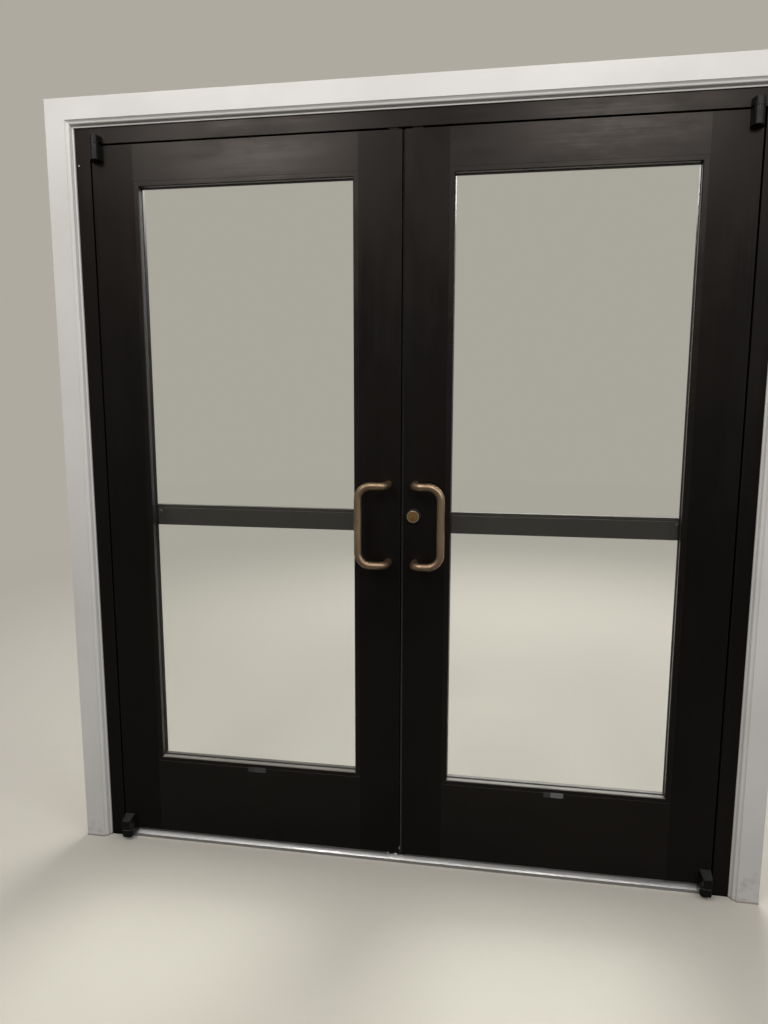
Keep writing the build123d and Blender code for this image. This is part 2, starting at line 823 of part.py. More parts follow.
def hook_bolt():
    """Swinging bolt, drawn upright inside its case, with a hook at its free end."""
    tip = hook_z + hook_length
    half = hook_width / 2
    with BuildPart() as bolt:
        with BuildSketch(facing(leaf_mid_y - hook_thickness / 2)):
            with BuildLine():
                Polyline((hook_x + half, hook_z), (hook_x + half, tip - hook_slope),
                         (hook_x + half - hook_slope, tip), (hook_x - half, tip),
                         (hook_x - half, tip - hook_nose), (hook_x - half + hook_notch, tip - hook_nose),
                         (hook_x - half + hook_notch, hook_z + hook_shank),
                         (hook_x - half, hook_z + hook_shank - hook_slope), (hook_x - half, hook_z))
                RadiusArc((hook_x - half, hook_z), (hook_x + half, hook_z), -half)
            make_face()
            with Locations((hook_x, hook_z)):
                Circle(hook_pin_radius + pin_clearance, mode=Mode.SUBTRACT)
        extrude(amount=-hook_thickness)
    return bolt.part


def cylinder_collar():
    """Tapered ring between the stile and the head of the cylinder."""
    with BuildPart() as ring:
        with BuildSketch(facing(front_y)):
            with Locations((cylinder_x, cylinder_height)):
                Circle(collar_radius)
        with BuildSketch(facing(front_y - collar_thickness)):
            with Locations((cylinder_x, cylinder_height)):
                Circle(collar_front_radius)
        loft()
        with BuildSketch(facing(front_y)):
            with Locations((cylinder_x, cylinder_height)):
                Circle(cylinder_radius + plug_clearance)
        extrude(amount=collar_thickness, mode=Mode.SUBTRACT)
    return ring.part


def cylinder_body():
    """Mortise cylinder: a wide head on the collar, a barrel through the stile and a bore for the plug."""
    head_y = front_y - collar_thickness - cylinder_head_thickness
    with BuildPart() as body:
        with BuildSketch(facing(front_y + cylinder_length)):
            with Locations((cylinder_x, cylinder_height)):
                Circle(cylinder_radius)
        extrude(amount=cylinder_length + collar_thickness)
        with BuildSketch(facing(front_y - collar_thickness)):
            with Locations((cylinder_x, cylinder_height)):
                Circle(cylinder_head_radius)
        extrude(amount=cylinder_head_thickness)
        chamfer(body.faces().sort_by(Axis.Y)[0].edges(), cylinder_head_bevel)
        with BuildSketch(facing(head_y)):
            with Locations((cylinder_x, plug_z)):
                Circle(plug_radius + plug_clearance)
        extrude(amount=-(cylinder_head_thickness + collar_thickness + cylinder_length), mode=Mode.SUBTRACT)
    return body.part


def cylinder_plug():
    """Turning plug with its keyway, and the cam on its inner end pointing up."""
    head_y = front_y - collar_thickness - cylinder_head_thickness - plug_proud
    end_y = front_y + cylinder_length + case_gap
    with BuildPart() as plug:
        with BuildSketch(facing(end_y)):
            with Locations((cylinder_x, plug_z)):
                Circle(plug_radius)
        extrude(amount=end_y - head_y)
        with BuildSketch(facing(head_y)):
            with Locations((cylinder_x, plug_z)):
                Rectangle(keyway_width, keyway_height)
        extrude(amount=-keyway_depth, mode=Mode.SUBTRACT)
        with BuildSketch(facing(end_y + cam_thickness)):
            with Locations((cylinder_x, plug_z)):
                Circle(plug_radius)
            with Locations((cylinder_x, plug_z + cam_length / 2)):
                RectangleRounded(cam_width, cam_length, cam_corner)
        extrude(amount=cam_thickness)
    return plug.part


def strike():
    """Strike plate on the inactive stile, drawn on the right, slotted for the hook bolt."""
    with BuildPart() as plate:
        with BuildSketch(Plane.YZ.offset(lock_edge)):
            with Locations((leaf_mid_y, strike_z)):
                Rectangle(front_plate_width - 2 * plate_clearance, strike_plate_height - 2 * plate_clearance)
                Rectangle(strike_slot_width, strike_slot_height, mode=Mode.SUBTRACT)
        extrude(amount=front_plate_thickness)
    return plate.part


# Flush bolts
def flush_fitting(plate_bottom, guide_bottom):
    """Front plate with its guide block, and the guide in the open end of the stile."""
    rod_hole = flush_rod_radius + flush_clearance
    plate_middle = plate_bottom + flush_plate_height / 2
    wall_inner = lock_edge + leaf_wall
    inner_depth = leaf_thickness - 2 * leaf_wall
    slot_width = flush_tab_width + 2 * slot_margin
    plate_back = lock_edge + front_plate_thickness
    block_end = flush_x + flush_block_reach
    guide_end = flush_x + flush_guide_reach
    with BuildPart() as fitting:
        with BuildSketch(Plane.YZ.offset(lock_edge)):
            with Locations((leaf_mid_y, plate_middle)):
                Rectangle(front_plate_width - 2 * plate_clearance, flush_plate_height - 2 * plate_clearance)
                Rectangle(flush_tab_width + 1, flush_tab_height + flush_throw * 2 + 2, mode=Mode.SUBTRACT)
        extrude(amount=front_plate_thickness)
        for level in (plate_bottom + front_plate_ends,
                      plate_bottom + flush_plate_height - front_plate_ends - flush_block_height):
            with BuildSketch(Plane.XY.offset(level)):
                with Locations(((plate_back + block_end) / 2, leaf_mid_y)):
                    Rectangle(block_end - plate_back, slot_width - 2 * plate_clearance)
                with Locations((flush_x, leaf_mid_y)):
                    Circle(flush_rod_radius + flush_ring_wall)
                    Circle(rod_hole, mode=Mode.SUBTRACT)
            extrude(amount=flush_block_height)
        with BuildSketch(Plane.XY.offset(guide_bottom)):
            with Locations(((wall_inner + guide_end) / 2, leaf_mid_y)):
                Rectangle(guide_end - wall_inner, inner_depth)
            with Locations((flush_x, leaf_mid_y)):
                Circle(rod_hole, mode=Mode.SUBTRACT)
        extrude(amount=flush_guide_height)
    return fitting.part


def flush_fittings():
    """The two flush bolt fittings of the inactive leaf, lower one first."""
    (low, _), (high, _) = flush_levels()
    lower = flush_fitting(low, leaf_bottom)
    upper = flush_fitting(high, leaf_top - flush_guide_height)
    with BuildPart() as both:
        add(lower)
        add(upper)
    return both.part


def flush_bolt(rod_start, tab_middle):
    """Round rod with the thumb tab that slides it, from rod_start upwards."""
    with BuildPart() as bolt:
        with BuildSketch(Plane.XY.offset(rod_start)):
            with Locations((flush_x, leaf_mid_y)):
                Circle(flush_rod_radius)
        extrude(amount=flush_rod_length)
        ends = bolt.faces().sort_by(Axis.Z)[0].edges() + bolt.faces().sort_by(Axis.Z)[-1].edges()
        chamfer(ends, flush_rod_bevel)
        with BuildSketch(Plane.XY.offset(tab_middle - flush_tab_height / 2)):
            with Locations(((lock_edge + flush_tab_recess + flush_x) / 2, leaf_mid_y)):
                Rectangle(flush_x - lock_edge - flush_tab_recess, flush_tab_width)
        extrude(amount=flush_tab_height)
    return bolt.part


def astragal():
    """Bar on the meeting edge of the active leaf, with a pile strip along it."""
    middle_y = leaf_back_y - astragal_inset - astragal_width / 2
    bar_x = lock_edge - astragal_thickness
    with BuildPart() as strip:
        with BuildSketch(Plane.XY.offset(leaf_bottom)):
            with Locations((bar_x + astragal_thickness / 2, middle_y)):
                Rectangle(astragal_thickness, astragal_width)
            with Locations((bar_x - astragal_pile_height / 2, middle_y)):
                Rectangle(astragal_pile_height, astragal_pile_width)
        extrude(amount=leaf_top - leaf_bottom)
    return strip.part


def build_frame():
    """Write every piece that is fixed in the wall."""
    save(frame_head(), "frame_head")
    save(head_door_stop(), "stop_head")
    save(casing_head(), "casing_head")
    save(threshold(), "threshold")
    save(head_keepers(), "head_keepers")
    liner_y = (front_y - liner_reveal, back_y)
    liner_outer = frame_outer + liner_thickness
    save(block((-liner_outer, liner_outer), liner_y, (frame_top, frame_top + liner_thickness)), "liner_head")
    for side, word in ((LEFT, "left"), (RIGHT, "right")):
        save_side(jamb(), side, f"jamb_{word}")
        save_side(jamb_door_stop(), side, f"stop_{word}")
        save_side(casing_side(), side, f"casing_{word}")
        save_side(block((frame_outer, liner_outer), liner_y, (0, frame_top)), side, f"liner_{word}")
        save_side(top_pivot_frame(), side, f"top_pivot_frame_{word}")
        save_side(bottom_pivot_frame(), side, f"bottom_pivot_frame_{word}")


def build_leaf(side, word):
    """Write the pieces that both leaves have."""
    pull_flat = front_y + glazing_stop_setback
    push_flat = leaf_back_y - glazing_stop_setback
    pieces = {
        "hinge_stile": stile(light_outer, hinge_edge),
        "top_rail": rail(light_top, top_rail_height, 0),
        "bottom_rail": rail(leaf_bottom, bottom_rail_height, 1),
        "tie_rods": tie_rods(),
        "glass": glass(),
        "setting_blocks": setting_blocks(),
        "stops_pull": glazing_stops(pull_flat, glass_front_y - gasket_thickness),
        "stops_push": glazing_stops(push_flat, glass_back_y + gasket_thickness),
        "gaskets": gaskets(),
        "pull": pull(),
        "push_bar": push_bar(),
        "bar_brackets": bar_fittings(),
        "top_pivot": top_pivot_leaf(),
        "bottom_pivot": bottom_pivot_leaf(),
    }
    for name, piece in pieces.items():
        save_side(piece, side, f"{word}_{name}")


def build_locking():
    """Write the lock of the right leaf, the bolts and strike of the left leaf and the astragal."""
    save(right_lock_stile(), "right_lock_stile")
    save_side(left_lock_stile(), LEFT, "left_lock_stile")
    save(lock_case(), "lock_case")
    save(hook_bolt(), "hook_bolt")
    save(cylinder_collar(), "cylinder_collar")
    save(cylinder_body(), "cylinder_body")
    save(cylinder_plug(), "cylinder_plug")
    save(astragal(), "right_astragal")
    save_side(strike(), LEFT, "strike")
    save_side(flush_fittings(), LEFT, "flush_bolt_fittings")
    (low, _), (high, _) = flush_levels()
    lower_tab = low + flush_plate_height / 2
    upper_tab = high + flush_plate_height / 2
    lower_start = leaf_bottom + flush_rod_end_gap
    upper_start = leaf_top - flush_rod_end_gap - flush_rod_length
    save_side(flush_bolt(lower_start, lower_tab), LEFT, "flush_bolt_bottom")
    save_side(flush_bolt(upper_start, upper_tab), LEFT, "flush_bolt_top")


build_frame()
build_leaf(LEFT, "left")
build_leaf(RIGHT, "right")
build_locking()
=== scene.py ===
"""Looks of a pair of glazed entrance leaves in their frame and painted casing.

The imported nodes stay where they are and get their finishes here. A piece made here sits on a face of the box
of the node that carries it. Lengths are in metres. X runs to the right for someone on the pull side, Y runs
from the pull side to the push side and Z is up. The origin lies on the floor, in the middle of the opening.
"""

import logging
import math
from dataclasses import dataclass
from enum import Enum
from functools import cached_property
from typing import Mapping, Sequence

import bpy
import numpy as np
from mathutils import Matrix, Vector


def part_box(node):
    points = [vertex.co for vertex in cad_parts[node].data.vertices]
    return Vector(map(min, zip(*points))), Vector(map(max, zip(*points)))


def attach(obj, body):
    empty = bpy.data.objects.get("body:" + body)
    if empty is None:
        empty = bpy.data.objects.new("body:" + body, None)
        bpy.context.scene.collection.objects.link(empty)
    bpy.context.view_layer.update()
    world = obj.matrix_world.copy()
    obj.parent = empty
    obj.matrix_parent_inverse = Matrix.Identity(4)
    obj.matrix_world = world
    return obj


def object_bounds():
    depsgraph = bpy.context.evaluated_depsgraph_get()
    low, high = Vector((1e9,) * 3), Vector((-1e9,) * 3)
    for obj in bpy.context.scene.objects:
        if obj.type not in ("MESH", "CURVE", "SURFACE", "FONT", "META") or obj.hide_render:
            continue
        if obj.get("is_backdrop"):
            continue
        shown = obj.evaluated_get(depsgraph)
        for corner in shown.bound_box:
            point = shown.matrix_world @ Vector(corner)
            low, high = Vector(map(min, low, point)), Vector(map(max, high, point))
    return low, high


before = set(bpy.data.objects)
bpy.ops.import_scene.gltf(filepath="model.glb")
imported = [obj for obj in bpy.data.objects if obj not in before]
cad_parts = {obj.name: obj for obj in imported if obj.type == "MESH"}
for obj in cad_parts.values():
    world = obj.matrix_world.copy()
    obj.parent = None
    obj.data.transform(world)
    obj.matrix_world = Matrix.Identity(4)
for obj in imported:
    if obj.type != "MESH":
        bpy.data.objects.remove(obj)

MM = 0.001
log = logging.getLogger("glass_door")

Colour = tuple[float, float, float]
Node = bpy.types.Node
Socket = bpy.types.NodeSocket
Value = Socket | float | Sequence[float]
Material = bpy.types.Material
Owner = Material | bpy.types.World
Point = Sequence[float]
Pairs = Sequence[tuple[float, float]]

SHARP_EDGE = math.radians(35.0)

# Directions that faces look in
UP, DOWN, PULL_SIDE, PUSH_SIDE = (0, 0, 1), (0, 0, -1), (0, -1, 0), (0, 1, 0)


def scaled(colour: Colour, factor: float) -> Colour:
    """A colour made brighter or darker by a factor."""
    return tuple(factor * part for part in colour)


class Grain(Enum):
    """Direction in which a length of material was drawn, planed or brushed."""

    ALONG_X = 0
    ALONG_Z = 2

    def stretch(self, along: float, across: float) -> Point:
        """Scales for a pattern drawn out along the grain.

        Args:
            along: repeats in a metre along the grain.
            across: repeats in a metre across it.

        Returns:
            One scale for each axis.
        """
        scales = [across, across, across]
        scales[self.value] = along
        return tuple(scales)


class Side(Enum):
    """Leaf or jamb that a piece belongs to, with the sign of its X places."""

    LEFT = -1
    RIGHT = 1

    @property
    def word(self) -> str:
        """Word that begins the names of this side's nodes."""
        return self.name.lower()

    @property
    def leaf(self) -> str:
        """Name of the swinging body on this side."""
        return f"{self.word}_leaf"


# Node graphs
class Graph:
    """Node tree of a material or a world, with short methods for the kinds of node used here."""

    def __init__(self, owner: Owner, output: str = "ShaderNodeOutputMaterial") -> None:
        """Start an empty tree.

        Args:
            owner: the material or world that the tree belongs to.
            output: Blender's name of its output node.
        """
        owner.use_nodes = True
        self.owner = owner
        self.tree = owner.node_tree
        self.tree.nodes.clear()
        self.output = self.node(output)

    @cached_property
    def place(self) -> Socket:
        """Place on the object, in metres."""
        return self.node("ShaderNodeTexCoord").outputs["Object"]

    def node(self, kind: str, inputs: Mapping[str | int, Value] | None = None, **settings: object) -> Node:
        """Add a node.

        Args:
            kind: Blender's name of the node type.
            inputs: values for its input sockets, by name or number.
            settings: values for the node's own properties.

        Returns:
            The new node.
        """
        made = self.tree.nodes.new(kind)
        for key, value in settings.items():
            setattr(made, key, value)
        for key, value in (inputs or {}).items():
            self.feed(made.inputs[key], value)
        return made

    def feed(self, target: Socket, value: Value) -> None:
        """Link a socket to the target, or set the target's own value.

        Args:
            target: input socket.
            value: output socket, number, colour or list of numbers.
        """
        if isinstance(value, Socket):
            self.tree.links.new(value, target)
        elif target.type == "RGBA":
            target.default_value = (*value, 1.0)
        else:
            target.default_value = value

    def math(self, operation: str, first: Socket | float, second: Socket | float = 0.0) -> Socket:
        """Combine two numbers.

        Args:
            operation: Blender's name of the operation.
            first: first operand.
            second: second operand.

        Returns:
            The result.
        """
        return self.node("ShaderNodeMath", {0: first, 1: second}, operation=operation).outputs[0]

    def plus(self, first: Socket | float, second: Socket | float) -> Socket:
        """Sum of two numbers."""
        return self.math("ADD", first, second)

    def times(self, first: Socket | float, second: Socket | float) -> Socket:
        """Product of two numbers."""
        return self.math("MULTIPLY", first, second)

    def away(self, value: Socket, middle: float) -> Socket:
        """Distance of a number from a middle."""
        return self.math("ABSOLUTE", self.math("SUBTRACT", value, middle))

    def length(self, vector: Socket) -> Socket:
        """Length of a vector."""
        return self.node("ShaderNodeVectorMath", {0: vector}, operation="LENGTH").outputs["Value"]

    def mapped(self, scale: Point, centre: Point = (0.0, 0.0, 0.0)) -> Socket:
        """Place measured from a centre and scaled along each axis.

        Args:
            scale: factor for each axis.
            centre: point that becomes the origin, in metres.

        Returns:
            The mapped place.
        """
        start = [-middle * factor for middle, factor in zip(centre, scale)]
        inputs = {"Vector": self.place, "Scale": scale, "Location": start}
        return self.node("ShaderNodeMapping", inputs).outputs[0]

    def axis(self, index: int) -> Socket:
        """One coordinate of the place, in metres: 0 for X, 1 for Y and 2 for Z."""
        return self.node("ShaderNodeSeparateXYZ", {0: self.place}).outputs[index]

    def noise(self, where: Socket, scale: float = 1.0, detail: float = 3.0, rough: float = 0.5) -> Socket:
        """Cloudy noise between 0 and 1.

        Args:
            where: place that it is read at.
            scale: repeats in a unit of the place.
            detail: number of finer octaves.
            rough: strength of the finer octaves.

        Returns:
            The noise.
        """
        inputs = {"Vector": where, "Scale": scale, "Detail": detail, "Roughness": rough}
        return self.node("ShaderNodeTexNoise", inputs).outputs["Fac"]

    def spread(self, value: Socket, low: float, high: float, to_low: float = 0.0,
               to_high: float = 1.0) -> Socket:
        """Carry one range of values smoothly to another, and hold the ends.

        Args:
            value: number to carry over.
            low: start of the range it comes from.
            high: end of that range.
            to_low: result at the start.
            to_high: result at the end.

        Returns:
            The carried number.
        """
        inputs = {"Value": value, "From Min": low, "From Max": high, "To Min": to_low, "To Max": to_high}
        return self.node("ShaderNodeMapRange", inputs, interpolation_type="SMOOTHSTEP").outputs[0]

    def blend(self, share: Socket, first: Socket | Colour, second: Socket | Colour) -> Socket:
        """Mix two colours.

        Args:
            share: how much of the second colour shows.
            first: colour at a share of 0.
            second: colour at a share of 1.

        Returns:
            The mixed colour.
        """
        return self.node("ShaderNodeMix", {0: share, 6: first, 7: second}, data_type="RGBA").outputs[2]

    def bump(self, height: Socket, depth: float, strength: float) -> Socket:
        """Normal of a surface roughened by a height.

        Args:
            height: height between 0 and 1.
            depth: depth of a full step in metres.
            strength: share of the effect.

        Returns:
            The changed normal.
        """
        inputs = {"Strength": strength, "Distance": depth, "Height": height}
        return self.node("ShaderNodeBump", inputs).outputs[0]

    def normal(self) -> Socket:
        """The surface's true normal."""
        return self.node("ShaderNodeNewGeometry").outputs["Normal"]

    def upward(self) -> Socket:
        """Upward part of the surface's normal, from -1 to 1."""
        return self.node("ShaderNodeSeparateXYZ", {0: self.normal()}).outputs[2]

    def worn_edge(self, radius: float) -> Socket:
        """Share of wear, from 0 on flats to 1 on sharp edges.

        It compares the true normal with one rounded over the radius: their dot product falls at an edge.

        Args:
            radius: reach of the wear in metres.

        Returns:
            The share of wear.
        """
        rounded = self.node("ShaderNodeBevel", {"Radius": radius}, samples=4).outputs[0]
        facing = self.node("ShaderNodeVectorMath", {0: rounded, 1: self.normal()}, operation="DOT_PRODUCT")
        return self.spread(facing.outputs["Value"], 0.97, 0.80)

    def surface(self, **inputs: Value) -> Socket:
        """Add the physical surface and wire it to the output.

        Args:
            inputs: values by socket name, with spaces written as underscores.

        Returns:
            The surface's shader.
        """
        named = {key.replace("_", " "): value for key, value in inputs.items()}
        shader = self.node("ShaderNodeBsdfPrincipled", named).outputs[0]
        self.feed(self.output.inputs["Surface"], shader)
        return shader

    def either(self, share: Socket, first: Socket, second: Socket) -> Socket:
        """Mix two shaders and wire them to the output.

        Args:
            share: how much of the second shader shows.
            first: shader at a share of 0.
            second: shader at a share of 1.

        Returns:
            The mixed shader.
        """
        shader = self.node("ShaderNodeMixShader", {0: share, 1: first, 2: second}).outputs[0]
        self.feed(self.output.inputs["Surface"], shader)
        return shader


# Finishes
@dataclass(frozen=True)
class Finish:
    """Look that nodes and pieces can have."""

    name: str

    def wire(self, g: Graph) -> None:
        """Fill the material's graph, from its patterns to its output."""
        raise NotImplementedError

    def build(self) -> Material:
        """Make the material.

        Returns:
            The finished material.
        """
        g = Graph(bpy.data.materials.new(self.name))
        self.wire(g)
        return g.owner


@dataclass(frozen=True)
class AnodisedBronze(Finish):
    """Dark bronze anodised extrusion, with die lines along its length and cloudy hand marks."""

    grain: Grain
    deep: Colour = (0.0036, 0.0031, 0.0029)
    pale: Colour = (0.0078, 0.0064, 0.0056)
    worn: Colour = (0.045, 0.038, 0.032)
    settled: Colour = (0.116, 0.109, 0.097)
    sheen: Colour = (1.0, 0.91, 0.85)
    gloss: float = 0.28
    level: float = 0.20

    def wire(self, g: Graph) -> None:
        """Fine lines set colour and gloss, clouds and smears vary them, and dust lies on upward faces.

        Args:
            g: the material's graph.
        """
        lines = g.noise(g.mapped(self.grain.stretch(1.4, 420.0)), detail=4.0, rough=0.6)
        clouds = g.noise(g.place, scale=1.7)
        smears = g.noise(g.mapped(self.grain.stretch(3.0, 9.0)), detail=6.0, rough=0.68)
        dust = g.spread(g.noise(g.place, scale=620.0, detail=2.0, rough=0.8), 0.68, 0.80)
        tone = g.plus(g.spread(clouds, 0.34, 0.68, 0.0, 0.6), g.spread(lines, 0.45, 0.75, 0.0, 0.4))
        colour = g.blend(tone, self.deep, self.pale)
        colour = g.blend(g.times(dust, 0.25), colour, self.worn)
        colour = g.blend(g.times(g.worn_edge(0.9 * MM), 0.55), colour, self.worn)
        lying = g.times(g.spread(g.upward(), 0.45, 0.72), g.spread(smears, 0.25, 0.60, 0.45, 1.0))
        colour = g.blend(lying, colour, self.settled)
        matt = g.plus(g.spread(smears, 0.40, 0.72, self.gloss, self.gloss + 0.11),
                      g.spread(lines, 0.35, 0.70, 0.0, 0.05))
        g.surface(Base_Color=colour, Roughness=matt, Specular_IOR_Level=self.level,
                  Specular_Tint=self.sheen, Normal=g.bump(lines, depth=0.015 * MM, strength=0.6))


@dataclass(frozen=True)
class SatinBronze(Finish):
    """Warm satin bronze of the pulls, brushed round the bar and rubbed brighter where hands hold it."""

    base: Colour = (0.405, 0.286, 0.187)
    tarnish: Colour = (0.240, 0.165, 0.106)
    rubbed: Colour = (0.535, 0.400, 0.277)
    grip_middle: float = 1.06635
    grip_reach: float = 0.11

    def wire(self, g: Graph) -> None:
        """Tarnish comes in clouds, and a rubbed band lies round the middle of the grip.

        Args:
            g: the material's graph.
        """
        rings = g.noise(g.mapped((60.0, 60.0, 2600.0)), rough=0.6)
        clouds = g.noise(g.place, scale=26.0, detail=5.0, rough=0.62)
        near = g.spread(g.away(g.axis(2), self.grip_middle), self.grip_reach, 0.0)
        held = g.times(near, g.spread(clouds, 0.35, 0.65, 0.2, 0.8))
        colour = g.blend(g.spread(clouds, 0.42, 0.72), self.base, self.tarnish)
        colour = g.blend(held, colour, self.rubbed)
        matt = g.plus(g.spread(clouds, 0.35, 0.7, 0.36, 0.48), g.spread(rings, 0.35, 0.7, 0.0, 0.05))
        g.surface(Base_Color=colour, Metallic=1.0, Roughness=matt,
                  Normal=g.bump(rings, depth=0.012 * MM, strength=0.7))


@dataclass(frozen=True)
class PaintedTimber(Finish):
    """Off-white eggshell paint on timber, with brush strokes along it and dirt at its foot."""

    grain: Grain
    paint: Colour = (0.705, 0.692, 0.672)
    shade: Colour = (0.635, 0.620, 0.598)
    dirt: Colour = (0.230, 0.170, 0.120)
    dirt_height: float = 0.16
    foot_line: float = 12.0 * MM
    foot_full: float = 4.0 * MM
    foot_wander: float = 6.0 * MM
    bare: Colour = (0.47, 0.33, 0.20)
    painted_to: float = 10.0
    brush_fade: float = 4.0 * MM
    brush_wander: float = 8.0 * MM

    def wire(self, g: Graph) -> None:
        """Strokes raise the surface, grime gathers low down, and bare wood shows where no brush reached.

        Args:
            g: the material's graph.
        """
        strokes = g.noise(g.mapped(self.grain.stretch(3.0, 520.0)), detail=5.0, rough=0.62)
        peel = g.noise(g.place, scale=520.0, detail=2.0)
        clouds = g.noise(g.place, scale=3.1, detail=4.0)
        low = g.spread(g.axis(2), self.dirt_height, 0.0)
        specks = g.spread(g.noise(g.place, scale=150.0, detail=5.0, rough=0.75), 0.60, 0.68)
        smudge = g.spread(g.noise(g.place, scale=24.0, detail=5.0, rough=0.6), 0.48, 0.78, 0.0, 0.55)
        level = g.plus(g.axis(2), g.times(clouds, self.foot_wander))
        foot = g.spread(level, self.foot_line, self.foot_full, 0.0, 0.75)
        grime = g.times(low, g.plus(g.times(specks, 0.55), smudge))
        colour = g.blend(g.spread(clouds, 0.35, 0.75), self.paint, self.shade)
        colour = g.blend(g.times(g.worn_edge(1.2 * MM), 0.22), colour, self.shade)
        colour = g.blend(g.math("MAXIMUM", grime, foot), colour, self.dirt)
        wood = g.noise(g.mapped(self.grain.stretch(5.0, 160.0)), detail=6.0, rough=0.7)
        raw = g.blend(g.spread(wood, 0.35, 0.7), self.bare, scaled(self.bare, 0.62))
        depth = g.plus(g.axis(1), g.times(clouds, self.brush_wander))
        colour = g.blend(g.spread(depth, self.painted_to, self.painted_to + self.brush_fade), colour, raw)
        height = g.plus(g.times(strokes, 0.7), g.times(peel, 0.3))
        g.surface(Base_Color=colour, Roughness=g.spread(clouds, 0.3, 0.7, 0.40, 0.50), IOR=1.48,
                  Normal=g.bump(height, depth=0.06 * MM, strength=0.8))


@dataclass(frozen=True)
class MillAluminium(Finish):
    """Mill finish aluminium of the threshold: scratched by feet, with dirt in its flutes."""

    base: Colour = (0.87, 0.87, 0.88)
    dull: Colour = (0.72, 0.715, 0.705)
    dirt: Colour = (0.085, 0.075, 0.062)
    top: float = 19.05 * MM
    flute: float = 0.9 * MM
    dirt_start: float = 0.15 * MM
    dirt_margin: float = 0.1 * MM
    nose_start: float = -43.5 * MM
    nose_full: float = -45.0 * MM

    def wire(self, g: Graph) -> None:
        """Long scratches and dull scuffs lie over it all, and dirt below the tops of the flutes.

        Args:
            g: the material's graph.
        """
        lines = g.noise(g.mapped((4.0, 1500.0, 1500.0)), detail=6.0, rough=0.6)
        scuffs = g.noise(g.mapped((5.0, 16.0, 16.0)), rough=0.55)
        sunk = g.spread(g.axis(2), self.top - self.dirt_start, self.top - self.flute + self.dirt_margin)
        patchy = g.spread(g.noise(g.mapped((5.0, 12.0, 12.0))), 0.35, 0.65, 0.45, 0.65)
        nose = g.spread(g.axis(1), self.nose_start, self.nose_full)
        dark = g.times(g.times(sunk, patchy), g.math("SUBTRACT", 1.0, nose))
        colour = g.blend(g.spread(scuffs, 0.42, 0.70), self.base, self.dull)
        colour = g.blend(dark, colour, self.dirt)
        matt = g.plus(g.spread(scuffs, 0.35, 0.7, 0.30, 0.40), g.spread(lines, 0.3, 0.7, 0.0, 0.08))
        matt = g.plus(matt, g.times(dark, 0.35))
        g.surface(Base_Color=colour, Metallic=1.0, Roughness=matt,
                  Normal=g.bump(lines, depth=0.006 * MM, strength=0.7))


@dataclass(frozen=True)
class PlatedSteel(Finish):
    """Bright or dull plated steel, finely grained with a cloudy passivated layer."""

    base: Colour = (0.56, 0.55, 0.53)
    dull: Colour = (0.42, 0.41, 0.40)
    gloss: float = 0.26

    def wire(self, g: Graph) -> None:
        """Clouds of dullness lie over a fine grain.

        Args:
            g: the material's graph.
        """
        clouds = g.noise(g.place, scale=55.0, detail=5.0, rough=0.6)
        fine = g.noise(g.mapped((2400.0, 2400.0, 160.0)))
        colour = g.blend(g.spread(clouds, 0.38, 0.7), self.base, self.dull)
        matt = g.spread(clouds, 0.35, 0.7, self.gloss, self.gloss + 0.16)
        g.surface(Base_Color=colour, Metallic=1.0, Roughness=matt,
                  Normal=g.bump(fine, depth=0.01 * MM, strength=0.6))


@dataclass(frozen=True)
class TurnedBrass(Finish):
    """Brass that was faced on a lathe: fine rings about the axis of the piece, dulled by keys."""

    centre: tuple[float, float]
    base: Colour = (0.560, 0.345, 0.130)
    dull: Colour = (0.300, 0.180, 0.076)
    # Painted highlight: paler colour of the rim, standing for light caught by the edge of the face.
    rim: Colour = (0.640, 0.530, 0.365)
    rings_per_metre: float = 3200.0
    ring_radius: float = 12.5 * MM
    groove_half: float = 0.7 * MM
    groove_core: float = 0.1 * MM
    painted_highlight_start: float = 1.4 * MM
    painted_highlight_full: float = 3.2 * MM

    def wire(self, g: Graph) -> None:
        """The distance from the axis drives fine rings, one darker groove and a paler rim that is a painted
        highlight.

        Args:
            g: the material's graph.
        """
        x, z = self.centre
        radius = g.length(g.mapped((1.0, 0.0, 1.0), (x, 0.0, z)))
        along = {"W": radius, "Scale": self.rings_per_metre}
        rings = g.node("ShaderNodeTexNoise", along, noise_dimensions="1D").outputs["Fac"]
        clouds = g.noise(g.place, scale=180.0, detail=5.0, rough=0.65)
        groove = g.spread(g.away(radius, self.ring_radius), self.groove_half, self.groove_core, 0.0, 0.8)
        colour = g.blend(g.spread(clouds, 0.40, 0.72, 0.1, 0.9), self.base, self.dull)
        # Painted highlight on the rim outside the groove.
        painted_highlight_share = g.spread(radius, self.ring_radius + self.painted_highlight_start, self.ring_radius + self.painted_highlight_full)
        colour = g.blend(painted_highlight_share, colour, self.rim)
        colour = g.blend(groove, colour, scaled(self.dull, 0.35))
        g.surface(Base_Color=colour, Metallic=1.0, Roughness=g.spread(clouds, 0.35, 0.7, 0.30, 0.46),
                  Normal=g.bump(rings, depth=0.02 * MM, strength=0.7))


